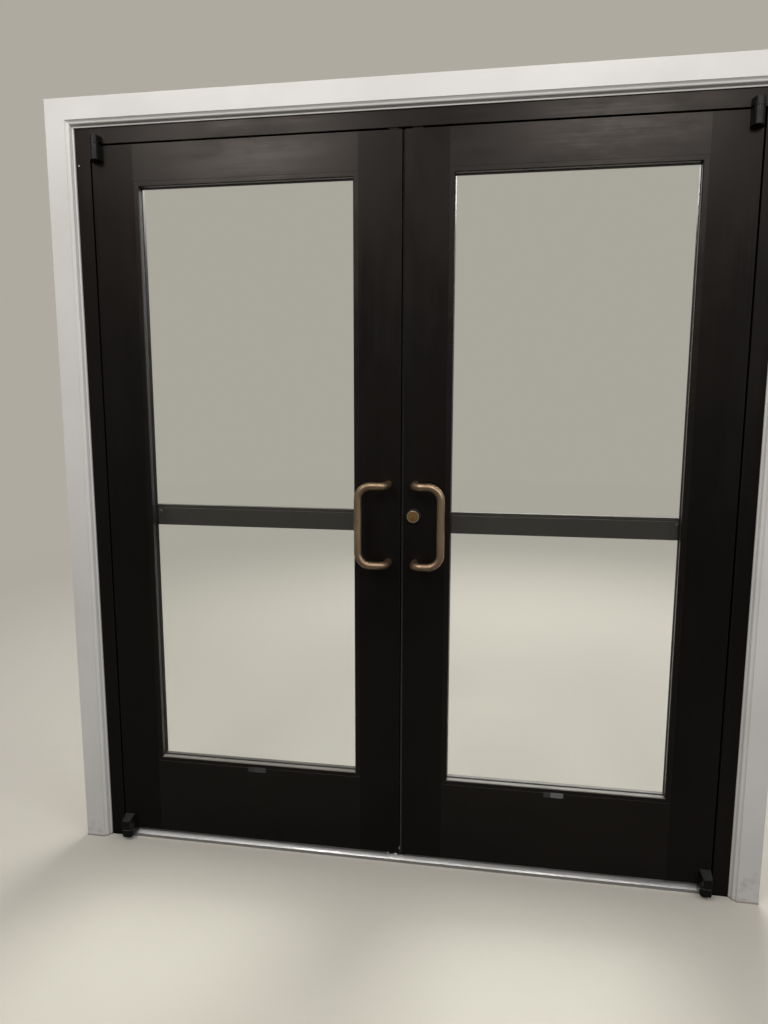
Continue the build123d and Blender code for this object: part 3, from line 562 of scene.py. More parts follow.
@dataclass(frozen=True)
class CastPaint(Finish):
    """Semi-gloss dark paint on a cast or machined piece, rubbed a little along its edges; on the cylinder
    collar the pale edge colour is a painted highlight.
    """

    paint: Colour = (0.0055, 0.0052, 0.0049)
    rubbed: Colour = (0.075, 0.068, 0.060)
    settled: Colour = (0.028, 0.028, 0.028)
    gloss: float = 0.30

    def wire(self, g: Graph) -> None:
        """The skin is pebbled, the edges are rubbed, with a pale painted highlight on the collar's edges
        instead, and dust lies on upward faces.

        Args:
            g: the material's graph.
        """
        pebbles = g.noise(g.place, scale=900.0)
        clouds = g.noise(g.place, scale=30.0, detail=5.0, rough=0.65)
        colour = g.blend(g.spread(clouds, 0.45, 0.75, 0.0, 0.5), self.paint, scaled(self.paint, 2.2))
        # Edge colour: rubbed wear on most pieces, a painted highlight on the cylinder collar.
        colour = g.blend(g.times(g.worn_edge(1.0 * MM), 0.6), colour, self.rubbed)
        lying = g.times(g.spread(g.upward(), 0.30, 0.60), g.spread(clouds, 0.25, 0.65, 0.4, 0.9))
        colour = g.blend(lying, colour, self.settled)
        g.surface(Base_Color=colour, Roughness=g.spread(clouds, 0.35, 0.7, self.gloss, self.gloss + 0.16),
                  Specular_IOR_Level=0.22, Normal=g.bump(pebbles, depth=0.03 * MM, strength=0.6))


@dataclass(frozen=True)
class BlackRubber(Finish):
    """Matt black glazing rubber with a dusty bloom."""

    base: Colour = (0.0100, 0.0098, 0.0095)
    bloom: Colour = (0.036, 0.035, 0.033)

    def wire(self, g: Graph) -> None:
        """Clouds of bloom lie over a fine skin.

        Args:
            g: the material's graph.
        """
        skin = g.noise(g.place, scale=1400.0, detail=2.0)
        clouds = g.noise(g.place, scale=22.0, detail=5.0, rough=0.65)
        g.surface(Base_Color=g.blend(g.spread(clouds, 0.45, 0.75), self.base, self.bloom),
                  Roughness=g.spread(clouds, 0.35, 0.7, 0.55, 0.8),
                  Normal=g.bump(skin, depth=0.03 * MM, strength=0.6))


@dataclass(frozen=True)
class PileFibre(Finish):
    """Grey-black woven pile of a weather strip, painted darker high up and paler toward the floor as painted
    shade and light.
    """

    base: Colour = (0.0060, 0.0058, 0.0056)
    tip: Colour = (0.019, 0.0183, 0.0177)
    # Painted light: paler tones toward the floor; the darker tones above them stand for painted shade high up.
    painted_light_base: Colour = (0.044, 0.0425, 0.041)
    painted_light_tip: Colour = (0.136, 0.131, 0.126)
    painted_shade_height: float = 2.1
    painted_light_height: float = 0.1

    def wire(self, g: Graph) -> None:
        """Each tuft has its own tone from a noise; painted shade darkens the pile high up, and painted light
        pales it as the square of the way down.

        Args:
            g: the material's graph.
        """
        tufts = g.noise(g.place, scale=420.0, rough=0.7)
        tuft = g.spread(tufts, 0.40, 0.65)
        # Painted shade high up, fading to painted light toward the floor.
        down = g.spread(g.axis(2), self.painted_shade_height, self.painted_light_height)
        painted_shade_tone = g.blend(tuft, self.base, self.tip)
        painted_light_tone = g.blend(tuft, self.painted_light_base, self.painted_light_tip)
        g.surface(Base_Color=g.blend(g.times(down, down), painted_shade_tone, painted_light_tone),
                  Roughness=g.spread(tufts, 0.3, 0.7, 0.75, 0.95), Sheen_Weight=0.10)


@dataclass(frozen=True)
class FloatGlass(Finish):
    """Clear float glass with a faint green body and wiped smears at hand height."""

    tint: Colour = (0.945, 0.965, 0.950)
    hand_height: float = 1.156
    hand_reach: float = 0.45

    def wire(self, g: Graph) -> None:
        """Smears roughen it a little, and lamps shine straight through it.

        Args:
            g: the material's graph.
        """
        wipes = g.noise(g.mapped((7.0, 1.0, 2.2)), detail=6.0, rough=0.7)
        prints = g.noise(g.place, scale=60.0, detail=4.0, rough=0.6)
        near = g.spread(g.away(g.axis(2), self.hand_height), self.hand_reach, 0.0)
        marks = g.times(g.spread(wipes, 0.52, 0.80), g.spread(prints, 0.40, 0.65))
        matt = g.times(g.times(marks, near), 0.05)
        pane = g.surface(Base_Color=self.tint, Transmission_Weight=1.0, Roughness=matt, IOR=1.52)
        clear = g.node("ShaderNodeBsdfTransparent", {"Color": self.tint}).outputs[0]
        g.either(g.node("ShaderNodeLightPath").outputs["Is Shadow Ray"], pane, clear)


@dataclass(frozen=True)
class BlankPlate(Finish):
    """Thin worn plate with a darker field at its left end and nothing written on it."""

    divide_x: float
    field: Colour = (0.150, 0.152, 0.146)
    dark: Colour = (0.034, 0.035, 0.036)
    blur: float = 0.3 * MM

    def wire(self, g: Graph) -> None:
        """One field lies to each side of the dividing line, and both are slightly stained.

        Args:
            g: the material's graph.
        """
        stain = g.noise(g.place, scale=240.0, detail=5.0, rough=0.65)
        right = g.spread(g.axis(0), self.divide_x - self.blur, self.divide_x + self.blur)
        colour = g.blend(right, self.dark, self.field)
        colour = g.blend(g.spread(stain, 0.45, 0.75, 0.0, 0.4), colour, self.dark)
        g.surface(Base_Color=colour, Roughness=g.spread(stain, 0.35, 0.7, 0.32, 0.48),
                  Normal=g.bump(stain, depth=0.02 * MM, strength=0.5))


# Surfaces
@dataclass
class Shell:
    """Closed surface: points, and faces as rows of point numbers."""

    points: np.ndarray
    faces: list[np.ndarray]

    def turned_to(self, centre: Point, outward: Point) -> "Shell":
        """Set the shell down on a surface.

        Its own Z goes to the outward direction, its X stays level, and its Y goes up, or to plus Y on a face
        that looks straight up or down.

        Args:
            centre: place of its origin in metres.
            outward: direction away from the surface that carries it.

        Returns:
            The placed shell.
        """
        z = np.asarray(outward, float) / np.linalg.norm(outward)
        x = np.cross(UP if any(outward[:2]) else PUSH_SIDE, z)
        x = x / np.linalg.norm(x)
        return Shell(self.points @ np.stack([x, np.cross(z, x), z]) + np.asarray(centre, float), self.faces)


def circle(count: int) -> np.ndarray:
    """Angles that share out a full turn evenly, from 0."""
    return np.linspace(0, 2 * np.pi, count, endpoint=False)


def squared_circle(angle: np.ndarray, power: float) -> np.ndarray:
    """Points of a superellipse of unit size, which is a square with round corners when the power is low.

    Args:
        angle: angles of the points.
        power: each coordinate is the cosine or sine with its size raised to this power.

    Returns:
        Points of shape (angles, 2).
    """
    both = np.stack([np.cos(angle), np.sin(angle)], -1)
    return np.sign(both) * np.abs(both) ** power


def ring_grid(radii: np.ndarray | float, heights: np.ndarray | float, angle: np.ndarray) -> np.ndarray:
    """Rings about the Z axis: point (i, j) is radius i times the cosine and sine of angle j, at its height.

    Args:
        radii: radius of each ring, as a column, or that of a single ring.
        heights: height of each ring, as a column, or of each point, or of a single ring.
        angle: angles of the points.

    Returns:
        Points of shape (rings, angles, 3), or (angles, 3) for a single ring.
    """
    return np.stack(np.broadcast_arrays(radii * np.cos(angle), radii * np.sin(angle), heights), -1)


def ring_stack(grid: np.ndarray) -> Shell:
    """Close a pile of rings into a shell.

    Point (i, j) of the grid is point j of ring i. Each ring is joined to the next by a band of four-sided
    faces, and the first and the last ring are closed by fans about their middles. Rings that run
    anticlockwise seen from above and are piled from the bottom up give faces that point outwards.

    Args:
        grid: points of shape (rings, points in a ring, 3).

    Returns:
        The closed shell.
    """
    layers, around, _ = grid.shape
    start = np.arange(around)
    after = (start + 1) % around
    base = (np.arange(layers - 1) * around)[:, None]
    band = np.stack([base + start, base + after, base + around + after, base + around + start], -1)
    top = (layers - 1) * around
    under, over = layers * around, layers * around + 1
    bottom_fan = np.stack([after, start, np.full(around, under)], -1)
    top_fan = np.stack([top + start, top + after, np.full(around, over)], -1)
    points = np.concatenate([grid.reshape(-1, 3), grid[:1].mean(1), grid[-1:].mean(1)])
    return Shell(points, [band.reshape(-1, 4), bottom_fan, top_fan])


def joined(shells: Sequence[Shell]) -> Shell:
    """Put several shells into one.

    Args:
        shells: shells that stay apart from each other.

    Returns:
        One shell that holds them all.
    """
    offsets = np.cumsum([0] + [len(shell.points) for shell in shells[:-1]])
    faces = [rows + offset for shell, offset in zip(shells, offsets) for rows in shell.faces]
    return Shell(np.concatenate([shell.points for shell in shells]), faces)


def added(name: str, data: bpy.types.ID) -> bpy.types.Object:
    """Add an object to the scene.

    Args:
        name: the object's name.
        data: its mesh, lamp or camera.

    Returns:
        The new object.
    """
    made = bpy.data.objects.new(name, data)
    bpy.context.scene.collection.objects.link(made)
    return made


def piece(name: str, shell: Shell, material: Material, body: str) -> None:
    """Make a piece of the object from a shell, smooth but for its sharp edges.

    Args:
        name: the piece's name.
        shell: its surface.
        material: its finish.
        body: the body that it moves with.
    """
    mesh = bpy.data.meshes.new(name)
    mesh.from_pydata(shell.points.tolist(), [], [row for rows in shell.faces for row in rows.tolist()])
    mesh.polygons.foreach_set("use_smooth", np.ones(len(mesh.polygons), bool))
    mesh.set_sharp_from_angle(angle=SHARP_EDGE)
    mesh.materials.append(material)
    made = added(name, mesh)
    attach(made, body)
    log.info("%s: %d faces on %s", name, len(mesh.polygons), body)


def dress(nodes: Sequence[str], finish: Finish) -> None:
    """Give a finish to nodes of the frame.

    Args:
        nodes: names of the nodes.
        finish: their finish.
    """
    material = finish.build()
    for name in nodes:
        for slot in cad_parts[name].material_slots:
            slot.material = material
    log.info("%s: on %s", material.name, ", ".join(nodes))


# Small hardware
@dataclass(frozen=True)
class ScrewHead:
    """Countersunk screw head with a cross recess, flush with what it holds and slightly domed."""

    radius: float
    arm_reach: float = 2.1 * MM
    dome: float = 0.35 * MM
    skirt: float = 0.5 * MM
    recess: float = 0.8 * MM
    arm: float = 0.55 * MM
    arm_fade: float = 1.6
    hub: float = 0.2 * MM
    around: int = 32
    layers: int = 9

    def shell(self, turn: float) -> Shell:
        """Surface of the head.

        The height over the face is dome * (1 - (r / radius)^2), less a recess that is full depth where the
        point lies within an arm of the cross and fades out at the arm's edge and end.

        Args:
            turn: angle of the cross in degrees.

        Returns:
            The head, with its face upwards and its rim at height 0.
        """
        angle = circle(self.around)
        inward = np.linspace(self.radius, self.hub, self.layers)
        radii = np.concatenate([[self.radius, self.radius], inward])[:, None]
        across = radii * np.minimum(np.abs(np.cos(angle)), np.abs(np.sin(angle)))
        beside = np.clip((self.arm * self.arm_fade - across) / self.arm, 0, 1)
        share = beside * np.clip((self.arm_reach - radii) / self.arm, 0, 1)
        heights = self.dome * (1 - (radii / self.radius) ** 2) - self.recess * share
        heights[:2] = [[-self.skirt], [0.0]]
        return ring_stack(ring_grid(radii, heights, angle + math.radians(turn)))


@dataclass(frozen=True)
class RoundButton:
    """Low round plug or set screw with a rolled edge and, if wanted, a hollow in its middle."""

    radius: float
    height: float
    hollow: float = 0.0
    hollow_share: float = 0.6
    hub_share: float = 0.1
    around: int = 28
    layers: int = 7

    def shell(self) -> Shell:
        """Surface of the button: a quarter circle at the rim, then a flat or hollow face.

        Returns:
            The button, standing on height 0.
        """
        bend = np.linspace(0, np.pi / 2, 5)
        rim = self.radius - self.height * (1 - np.cos(bend))
        hub = self.hub_share * self.radius
        inner = np.linspace(rim[-1], hub, self.layers)[1:]
        dip = self.height - self.hollow * np.clip((self.hollow_share * self.radius - inner) / hub, 0, 1)
        heights = np.concatenate([self.height * np.sin(bend), dip])
        radii = np.concatenate([rim, inner])
        return ring_stack(ring_grid(radii[:, None], heights[:, None], circle(self.around)))


@dataclass(frozen=True)
class Plate:
    """Thin plate with round corners and a softened edge."""

    width: float = 57.0 * MM
    height: float = 16.0 * MM
    thickness: float = 0.6 * MM
    power: float = 1 / 7
    softened: float = 0.4
    flat_start: float = 2.0 * MM
    flat_end: float = 0.4
    around: int = 48

    def shell(self) -> Shell:
        """Surface of the plate.

        Its outline is a superellipse that is nearly a rectangle. The rings shrink over a quarter circle as
        high as the softened share of the thickness, and then run flat towards the middle.

        Returns:
            The plate, standing on height 0.
        """
        edge = self.softened * self.thickness
        bend = np.linspace(0, np.pi / 2, 4)
        flat = [edge + self.flat_start, self.flat_end * self.height]
        inset = np.concatenate([[0.0], edge * (1 - np.cos(bend)), flat])
        rise = np.concatenate([[0.0], self.thickness - edge + edge * np.sin(bend), [self.thickness] * 2])
        half = np.array([self.width / 2, self.height / 2]) - inset[:, None]
        outline = squared_circle(circle(self.around) + np.pi / self.around, self.power)
        x, y = np.moveaxis(outline * half[:, None], -1, 0)
        return ring_stack(np.stack(np.broadcast_arrays(x, y, rise[:, None]), -1))


@dataclass(frozen=True)
class SealFin:
    """Upright strip held by one edge: a thin fin, or a block where it is given more thickness."""

    reach: float
    thickness: float = 0.5 * MM
    sway: float = 0.12 * MM
    sections: int = 60
    around: int = 12
    waves: int = 11

    def shell(self, root: Point, height: float) -> Shell:
        """Surface of the strip.

        Its section is a superellipse of the fourth power. It is carried up a line that sways from side to
        side as a sine of some waves in the height, as a strip cut from a roll does.

        Args:
            root: lower end of the edge by which it is held.
            height: length of the strip.

        Returns:
            The strip, which stands out towards minus X.
        """
        x, y = squared_circle(circle(self.around), 0.5).T
        rise = np.linspace(0, height, self.sections)[:, None]
        shift = self.sway * np.sin(2 * np.pi * self.waves * rise / height)
        grid = np.broadcast_arrays(self.reach / 2 * (x - 1), self.thickness / 2 * y + shift, rise)
        return ring_stack(np.stack(grid, -1) + np.asarray(root, float))


@dataclass(frozen=True)
class PileStrip:
    """Rows of short tapered tufts that make the face of a weather strip."""

    length: float
    pitch: float = 2.4 * MM
    rows: int = 3
    width: float = 3.2 * MM
    foot: float = 0.55 * MM
    lean: float = 0.35
    scatter: float = 0.3
    shortest: float = 0.7

    def shell(self, start: Point, end: Point, outward: Point, seed: int) -> Shell:
        """Surface of the tufts.

        Each tuft is a three-sided spike: its foot is a triangle in the strip's face, and its tip stands out
        by the length, moved sideways by a seeded random lean. All tufts are worked out as one array.

        Args:
            start: first end of the strip's middle line.
            end: other end of it.
            outward: direction in which the tufts stand.
            seed: seed of the leans.

        Returns:
            All the tufts.
        """
        first, last, out = (np.asarray(place, float) for place in (start, end, outward))
        reach = np.linalg.norm(last - first)
        run = (last - first) / reach
        across = np.cross(out, run)
        count = int(reach / self.pitch)
        draw = np.random.default_rng(seed)
        along = (np.arange(count) + 0.5) * reach / count
        offset = (np.arange(self.rows) - (self.rows - 1) / 2) * self.width / self.rows
        s, t = (part.ravel() for part in np.meshgrid(along, offset))
        s = s + draw.uniform(-self.scatter, self.scatter, s.shape) * self.pitch
        middle = first + s[:, None] * run + t[:, None] * across
        corner = np.array([0, 2, 4]) * np.pi / 3 + draw.uniform(0, 1, s.shape)[:, None]
        spoke = np.cos(corner)[..., None] * run + np.sin(corner)[..., None] * across
        foot = middle[:, None] + self.foot * spoke
        lean = draw.uniform(-self.lean, self.lean, (len(s), 2)) * self.length
        height = self.length * draw.uniform(self.shortest, 1.0, len(s))
        tip = middle + height[:, None] * out + lean[:, :1] * run + lean[:, 1:] * across
        points = np.concatenate([foot, tip[:, None]], 1).reshape(-1, 3)
        base = (np.arange(len(s)) * 4)[:, None]
        sides = [base + np.array(corners) for corners in ((0, 1, 3), (1, 2, 3), (2, 0, 3), (2, 1, 0))]
        return Shell(points, [np.concatenate(sides)])


def screws(name: str, head: ScrewHead, places: Sequence[tuple[Point, Point, float]], steel: Material,
           body: str) -> None:
    """Make a piece of several screws of one kind.

    Args:
        name: the piece's name.
        head: shape of each head.
        places: middle, outward direction and angle in degrees of each screw.
        steel: finish of the screws.
        body: the body that they move with.
    """
    shells = [head.shell(turn).turned_to(centre, outward) for centre, outward, turn in places]
    piece(name, joined(shells), steel, body)


# Sub-assemblies
@dataclass
class FrameDressing:
    """The fixed frame: tubes, stops, casing, liners, threshold, keepers and the fixed pivot halves.

    Each screw is given by its X place in metres and the angle of its cross in degrees.
    """

    along_z: Sequence[str] = ("jamb_left", "jamb_right", "stop_left", "stop_right")
    along_x: Sequence[str] = ("frame_head", "stop_head")
    pivots: Sequence[str] = ("top_pivot_frame_left", "top_pivot_frame_right",
                             "bottom_pivot_frame_left", "bottom_pivot_frame_right")
    liner_paint_depth: float = -48.0 * MM
    cross_level: float = 0.24
    screw_y: float = 20.0 * MM
    threshold_screws: Pairs = ((-0.84, 12.0), (-0.42, 57.0), (0.42, 31.0), (0.84, 80.0))
    keeper_screws: Pairs = ((-0.041, 20.0), (-0.019, 65.0), (0.025, 8.0), (0.047, 44.0))
    button_place: tuple[float, float] = (-950.0 * MM, 2089.0 * MM)
    pad_width: float = 26.0 * MM
    pad_depth: float = 8.0 * MM
    pad_y: float = -37.5 * MM
    pad_clearance: float = 1.6 * MM
    pile_inset: float = 6.0 * MM
    pile_seed: int = 11

    def dress(self) -> None:
        """Give each fixed node its finish."""
        dress(self.along_z, AnodisedBronze("bronze_upright", Grain.ALONG_Z))
        dress(self.along_x, AnodisedBronze("bronze_head", Grain.ALONG_X, level=self.cross_level))
        dress(("casing_left", "casing_right"), PaintedTimber("casing_paint_upright", Grain.ALONG_Z))
        dress(("casing_head",), PaintedTimber("casing_paint_head", Grain.ALONG_X))
        upright = PaintedTimber("liner_upright", Grain.ALONG_Z, painted_to=self.liner_paint_depth)
        over_head = PaintedTimber("liner_over_head", Grain.ALONG_X, painted_to=self.liner_paint_depth)
        dress(("liner_left", "liner_right"), upright)
        dress(("liner_head",), over_head)
        dress(("threshold",), MillAluminium("threshold_mill"))
        dress(("head_keepers",), PlatedSteel("keeper_plate", gloss=0.34))
        dress(self.pivots, CastPaint("pivot_paint"))

    def fixings(self, steel: Material) -> None:
        """Screws that hold the threshold down on the push side, and those at both ends of the keepers.

        Args:
            steel: finish of the screws.
        """
        _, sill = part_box("threshold")
        places = [((x, self.screw_y, sill.z), UP, turn) for x, turn in self.threshold_screws]
        screws("threshold_screws", ScrewHead(radius=4.4 * MM), places, steel, "frame")
        low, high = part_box("head_keepers")
        y = (low.y + high.y) / 2
        places = [((x, y, low.z), DOWN, turn) for x, turn in self.keeper_screws]
        head = ScrewHead(radius=2.3 * MM, arm_reach=1.5 * MM)
        screws("keeper_screws", head, places, steel, "frame")

    def jamb_button(self, steel: Material) -> None:
        """Small bright button on the face of the left jamb, high up.

        Args:
            steel: its finish.
        """
        low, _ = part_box("jamb_left")
        x, z = self.button_place
        shell = RoundButton(radius=2.4 * MM, height=0.9 * MM).shell().turned_to((x, low.y, z), PULL_SIDE)
        piece("jamb_button", shell, steel, "frame")

    def threshold_pad(self) -> None:
        """Low rubber pad on the threshold, under the place where the leaves meet."""
        _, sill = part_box("threshold")
        leaf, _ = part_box("left_bottom_rail")
        pad = SealFin(self.pad_width, self.pad_depth, sway=0.0, sections=10)
        shell = pad.shell((self.pad_width / 2, self.pad_y, sill.z), leaf.z - self.pad_clearance - sill.z)
        piece("threshold_pad", shell, BlackRubber("threshold_pad_rubber").build(), "frame")

    def jamb_pile(self, side: Side, fibre: Material) -> None:
        """Tufts on the pile of one jamb's door stop.

        Args:
            side: the jamb.
            fibre: finish of the tufts.
        """
        low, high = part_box(f"stop_{side.word}")
        x = side.value * (min(abs(low.x), abs(high.x)) + self.pile_inset)
        strip = PileStrip(rows=4, width=5.2 * MM, length=1.2 * MM)
        seed = self.pile_seed + side.value
        shell = strip.shell((x, low.y, low.z), (x, low.y, high.z), PULL_SIDE, seed)
        piece(f"{side.word}_jamb_pile", shell, fibre, "frame")

    def build(self) -> None:
        """Dress the frame and add its small pieces."""
        self.dress()
        steel = PlatedSteel("screw_steel", gloss=0.3).build()
        fibre = PileFibre("jamb_pile_fibre").build()
        self.fixings(steel)
        self.jamb_button(steel)
        self.threshold_pad()
        for side in Side:
            self.jamb_pile(side, fibre)


@dataclass
class LeafDressing:
    """One leaf: stiles, rails, glass, stops, gaskets, pull, push bar and its half of the pivots."""

    side: Side
    cross_level: float = 0.32
    plate_middle: float = 456.0 * MM
    plate_level: float = 267.35 * MM
    plate_divide: float = 8.0 * MM
    plate_tone: float = 1.0
    plug_x: float = 757.5 * MM
    plug_z: float = 2129.0 * MM
    fixing_inset: float = 11.0 * MM
    washer_rise: float = 1.2 * MM
    set_screw_x: float = 893.0 * MM
    set_screw_inset: float = 19.0 * MM
    set_screw_z: float = 69.9 * MM
    pivot_slope: Point = (0.0, -14.0, 31.0)

    def node(self, part: str) -> str:
        """Name of this leaf's node or piece for a part."""
        return f"{self.side.word}_{part}"

    def dress(self) -> None:
        """Give each of the leaf's nodes its finish."""
        rows = (
            (AnodisedBronze(self.node("bronze_stile"), Grain.ALONG_Z), ("hinge_stile", "lock_stile")),
            (AnodisedBronze(self.node("bronze_rail"), Grain.ALONG_X, level=self.cross_level),
             ("top_rail", "bottom_rail", "push_bar", "stops_pull", "stops_push")),
            (FloatGlass(self.node("float_glass")), ("glass",)),
            (BlackRubber(self.node("glazing_rubber")), ("gaskets", "setting_blocks")),
            (SatinBronze(self.node("satin_bronze")), ("pull",)),
            (CastPaint(self.node("cast_paint")), ("bar_brackets", "top_pivot", "bottom_pivot")),
            (PlatedSteel(self.node("rod_plating")), ("tie_rods",)),
        )
        for finish, parts in rows:
            dress([self.node(part) for part in parts], finish)

    def blank_plate(self) -> None:
        """Small blank plate on the bottom rail's face, near its top."""
        low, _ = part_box(self.node("bottom_rail"))
        x = self.side.value * self.plate_middle
        shell = Plate().shell().turned_to((x, low.y, self.plate_level), PULL_SIDE)
        tone = scaled(BlankPlate.field, self.plate_tone)
        finish = BlankPlate(self.node("plate_grey"), x - self.plate_divide, tone)
        piece(self.node("blank_plate"), shell, finish.build(), self.side.leaf)

    def plug(self) -> None:
        """Round plug near the outer end of the top rail, over a hole in its face."""
        low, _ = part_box(self.node("top_rail"))
        place = (self.side.value * self.plug_x, low.y, self.plug_z)
        shell = RoundButton(radius=4.2 * MM, height=0.8 * MM).shell().turned_to(place, PULL_SIDE)
        black = BlackRubber(self.node("plug_black")).build()
        piece(self.node("hole_plug"), shell, black, self.side.leaf)

    def pull_fixings(self, steel: Material) -> None:
        """Cup washer and screw on the push side of the stile for each end of the pull.

        Args:
            steel: finish of the screws.
        """
        low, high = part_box(self.node("pull"))
        _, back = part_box(self.node("lock_stile"))
        x = self.side.value * (min(abs(low.x), abs(high.x)) + self.fixing_inset)
        washer = RoundButton(radius=7.5 * MM, height=1.6 * MM, hollow=0.5 * MM).shell()
        head = ScrewHead(radius=4.2 * MM, arm_reach=2.4 * MM, dome=0.6 * MM)
        shells = []
        for z, turn in ((low.z + self.fixing_inset, 25.0), (high.z - self.fixing_inset, 70.0)):
            shells.append(washer.turned_to((x, back.y, z), PUSH_SIDE))
            shells.append(head.shell(turn).turned_to((x, back.y + self.washer_rise, z), PUSH_SIDE))
        piece(self.node("pull_fixings"), joined(shells), steel, self.side.leaf)

    def cap_screws(self, steel: Material) -> None:
        """One screw in each end cap of the push bar.

        Args:
            steel: finish of the screws.
        """
        low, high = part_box(self.node("bar_brackets"))
        bar_low, bar_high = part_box(self.node("push_bar"))
        y, z = (bar_low.y + bar_high.y) / 2, (bar_low.z + bar_high.z) / 2
        places = (((low.x, y, z), (-1, 0, 0), 15.0), ((high.x, y, z), (1, 0, 0), 50.0))
        head = ScrewHead(radius=3.0 * MM, arm_reach=1.8 * MM)
        screws(self.node("cap_screws"), head, places, steel, self.side.leaf)

    def set_screw(self, steel: Material) -> None:
        """Set screw in the sloping top of the bottom pivot.

        Args:
            steel: finish of the screw.
        """
        _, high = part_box(self.node("bottom_pivot"))
        place = (self.side.value * self.set_screw_x, high.y - self.set_screw_inset, self.set_screw_z)
        shell = RoundButton(radius=3.2 * MM, height=0.5 * MM, hollow=0.45 * MM).shell()
        piece(self.node("set_screw"), shell.turned_to(place, self.pivot_slope), steel, self.side.leaf)

    def build(self) -> None:
        """Dress the leaf and add its small pieces."""
        self.dress()
        self.blank_plate()
        steel = CastPaint(self.node("screw_black"), gloss=0.24).build()
        self.pull_fixings(steel)
        self.cap_screws(steel)
        self.set_screw(steel)
        if self.side is Side.LEFT:
            self.plug()


@dataclass
class LockDressing:
    """Lock of the right leaf, strike and flush bolts of the left leaf, and the meeting strip."""

    plated: Sequence[str] = ("lock_case", "hook_bolt", "strike", "flush_bolt_fittings", "flush_bolt_top",
                             "flush_bolt_bottom")
    # Painted highlight: pale edge colour of the collar, standing for light caught by its rim.
    collar_painted_highlight: Colour = (0.55, 0.50, 0.42)
    seal_reach: float = 4.35 * MM
    seal_recess: float = 0.6 * MM
    seal_pitch: float = 2.0 * MM
    seal_seed: int = 5
    foot_width: float = 7.2 * MM
    foot_depth: float = 5.2 * MM
    foot_overlap: float = 0.5 * MM
    foot_clearance: float = 0.9 * MM
    front_inset: float = 9.0 * MM
    front_reach: float = 6.0 * MM
    front_recess: float = 1.0 * MM
    front_width: float = 2.4 * MM
    front_seed: int = 6
    plate_inset: float = 6.0 * MM
    flush_start: float = 150.0 * MM
    flush_end: float = 300.0 * MM
    turn_per_mm: float = 37.0

    def dress(self) -> None:
        """Give the lock's nodes their finishes."""
        low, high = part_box("cylinder_collar")
        x, z = (low.x + high.x) / 2, (low.z + high.z) / 2
        plug_low, plug_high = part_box("cylinder_plug")
        plug_centre = (x, plug_low.z + (plug_high.x - plug_low.x) / 2)
        dress(("cylinder_body",), TurnedBrass("cylinder_brass_turned", (x, z)))
        dress(("cylinder_plug",), TurnedBrass("plug_brass_turned", plug_centre, ring_radius=5.2 * MM))
        # The collar's edge colour is a painted highlight.
        dress(("cylinder_collar",), CastPaint("collar_dark", rubbed=self.collar_painted_highlight, gloss=0.24))
        dress(self.plated, PlatedSteel("lock_plating"))
        dress(("right_astragal",), PileFibre("meeting_strip_pile"))

    def meeting_seal(self, fibre: Material) -> None:
        """Pile and fin that close the gap between the leaves, on the active leaf's strip and near the front
        of its edge, and the block under the strip that closes the gap down to the threshold.

        Args:
            fibre: finish of the pile and the fins.
        """
        low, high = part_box("right_astragal")
        y, length = (low.y + high.y) / 2, high.z - low.z
        tufts = PileStrip(pitch=self.seal_pitch, length=self.seal_reach - self.seal_recess)
        shell = tufts.shell((low.x, y, low.z), (low.x, y, high.z), (-1, 0, 0), self.seal_seed)
        piece("meeting_pile", shell, fibre, "right_leaf")
        fin = SealFin(self.seal_reach).shell((low.x, y, low.z), length)
        piece("meeting_fin", fin, fibre, "right_leaf")
        leaf_low, leaf_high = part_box("right_lock_stile")
        edge, front = leaf_low.x, leaf_low.y + self.front_inset
        tufts = PileStrip(pitch=self.seal_pitch, width=self.front_width,
                          length=self.front_reach - self.front_recess)
        ends = (edge, front, leaf_low.z), (edge, front, leaf_high.z)
        shell = tufts.shell(*ends, (-1, 0, 0), self.front_seed)
        strip = SealFin(self.front_reach, thickness=1.1 * MM, sway=0.1 * MM)
        fin = strip.shell((edge, front, low.z), length)
        piece("meeting_front_seal", joined((shell, fin)), fibre, "right_leaf")
        _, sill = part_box("threshold")
        start = sill.z + self.foot_clearance
        foot = SealFin(self.foot_width, self.foot_depth, sway=0.08 * MM, sections=12)
        shell = foot.shell((high.x - self.foot_overlap, y, start), low.z - start)
        piece("meeting_foot", shell, BlackRubber("meeting_foot_rubber").build(), "right_leaf")

    def edge_screws(self, name: str, levels: Sequence[float], side: Side, steel: Material) -> None:
        """Screws in plates let into the meeting edge of a leaf, each turned by an angle from its height.

        Args:
            name: name of the piece.
            levels: heights of the screws.
            side: the leaf.
            steel: finish of the screws.
        """
        low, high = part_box(f"{side.word}_lock_stile")
        x, y = side.value * min(abs(low.x), abs(high.x)), (low.y + high.y) / 2
        places = [((x, y, z), (-side.value, 0, 0), self.turn_per_mm * z / MM % 90) for z in levels]
        screws(name, ScrewHead(radius=2.9 * MM, arm_reach=1.8 * MM), places, steel, side.leaf)

    def build(self) -> None:
        """Dress the lock and add the seal and the screws."""
        self.dress()
        self.meeting_seal(PileFibre("meeting_seal_fibre").build())
        steel = PlatedSteel("edge_screw_steel", gloss=0.28).build()
        plates = (("lock_screws", "lock_case", Side.RIGHT), ("strike_screws", "strike", Side.LEFT))
        for name, plate, side in plates:
            low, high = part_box(plate)
            self.edge_screws(name, (low.z + self.plate_inset, high.z - self.plate_inset), side, steel)
        low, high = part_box("flush_bolt_fittings")
        near, far = self.flush_start + self.plate_inset, self.flush_end - self.plate_inset
        levels = (low.z + near, low.z + far, high.z - far, high.z - near)
        self.edge_screws("flush_plate_screws", levels, Side.LEFT, steel)


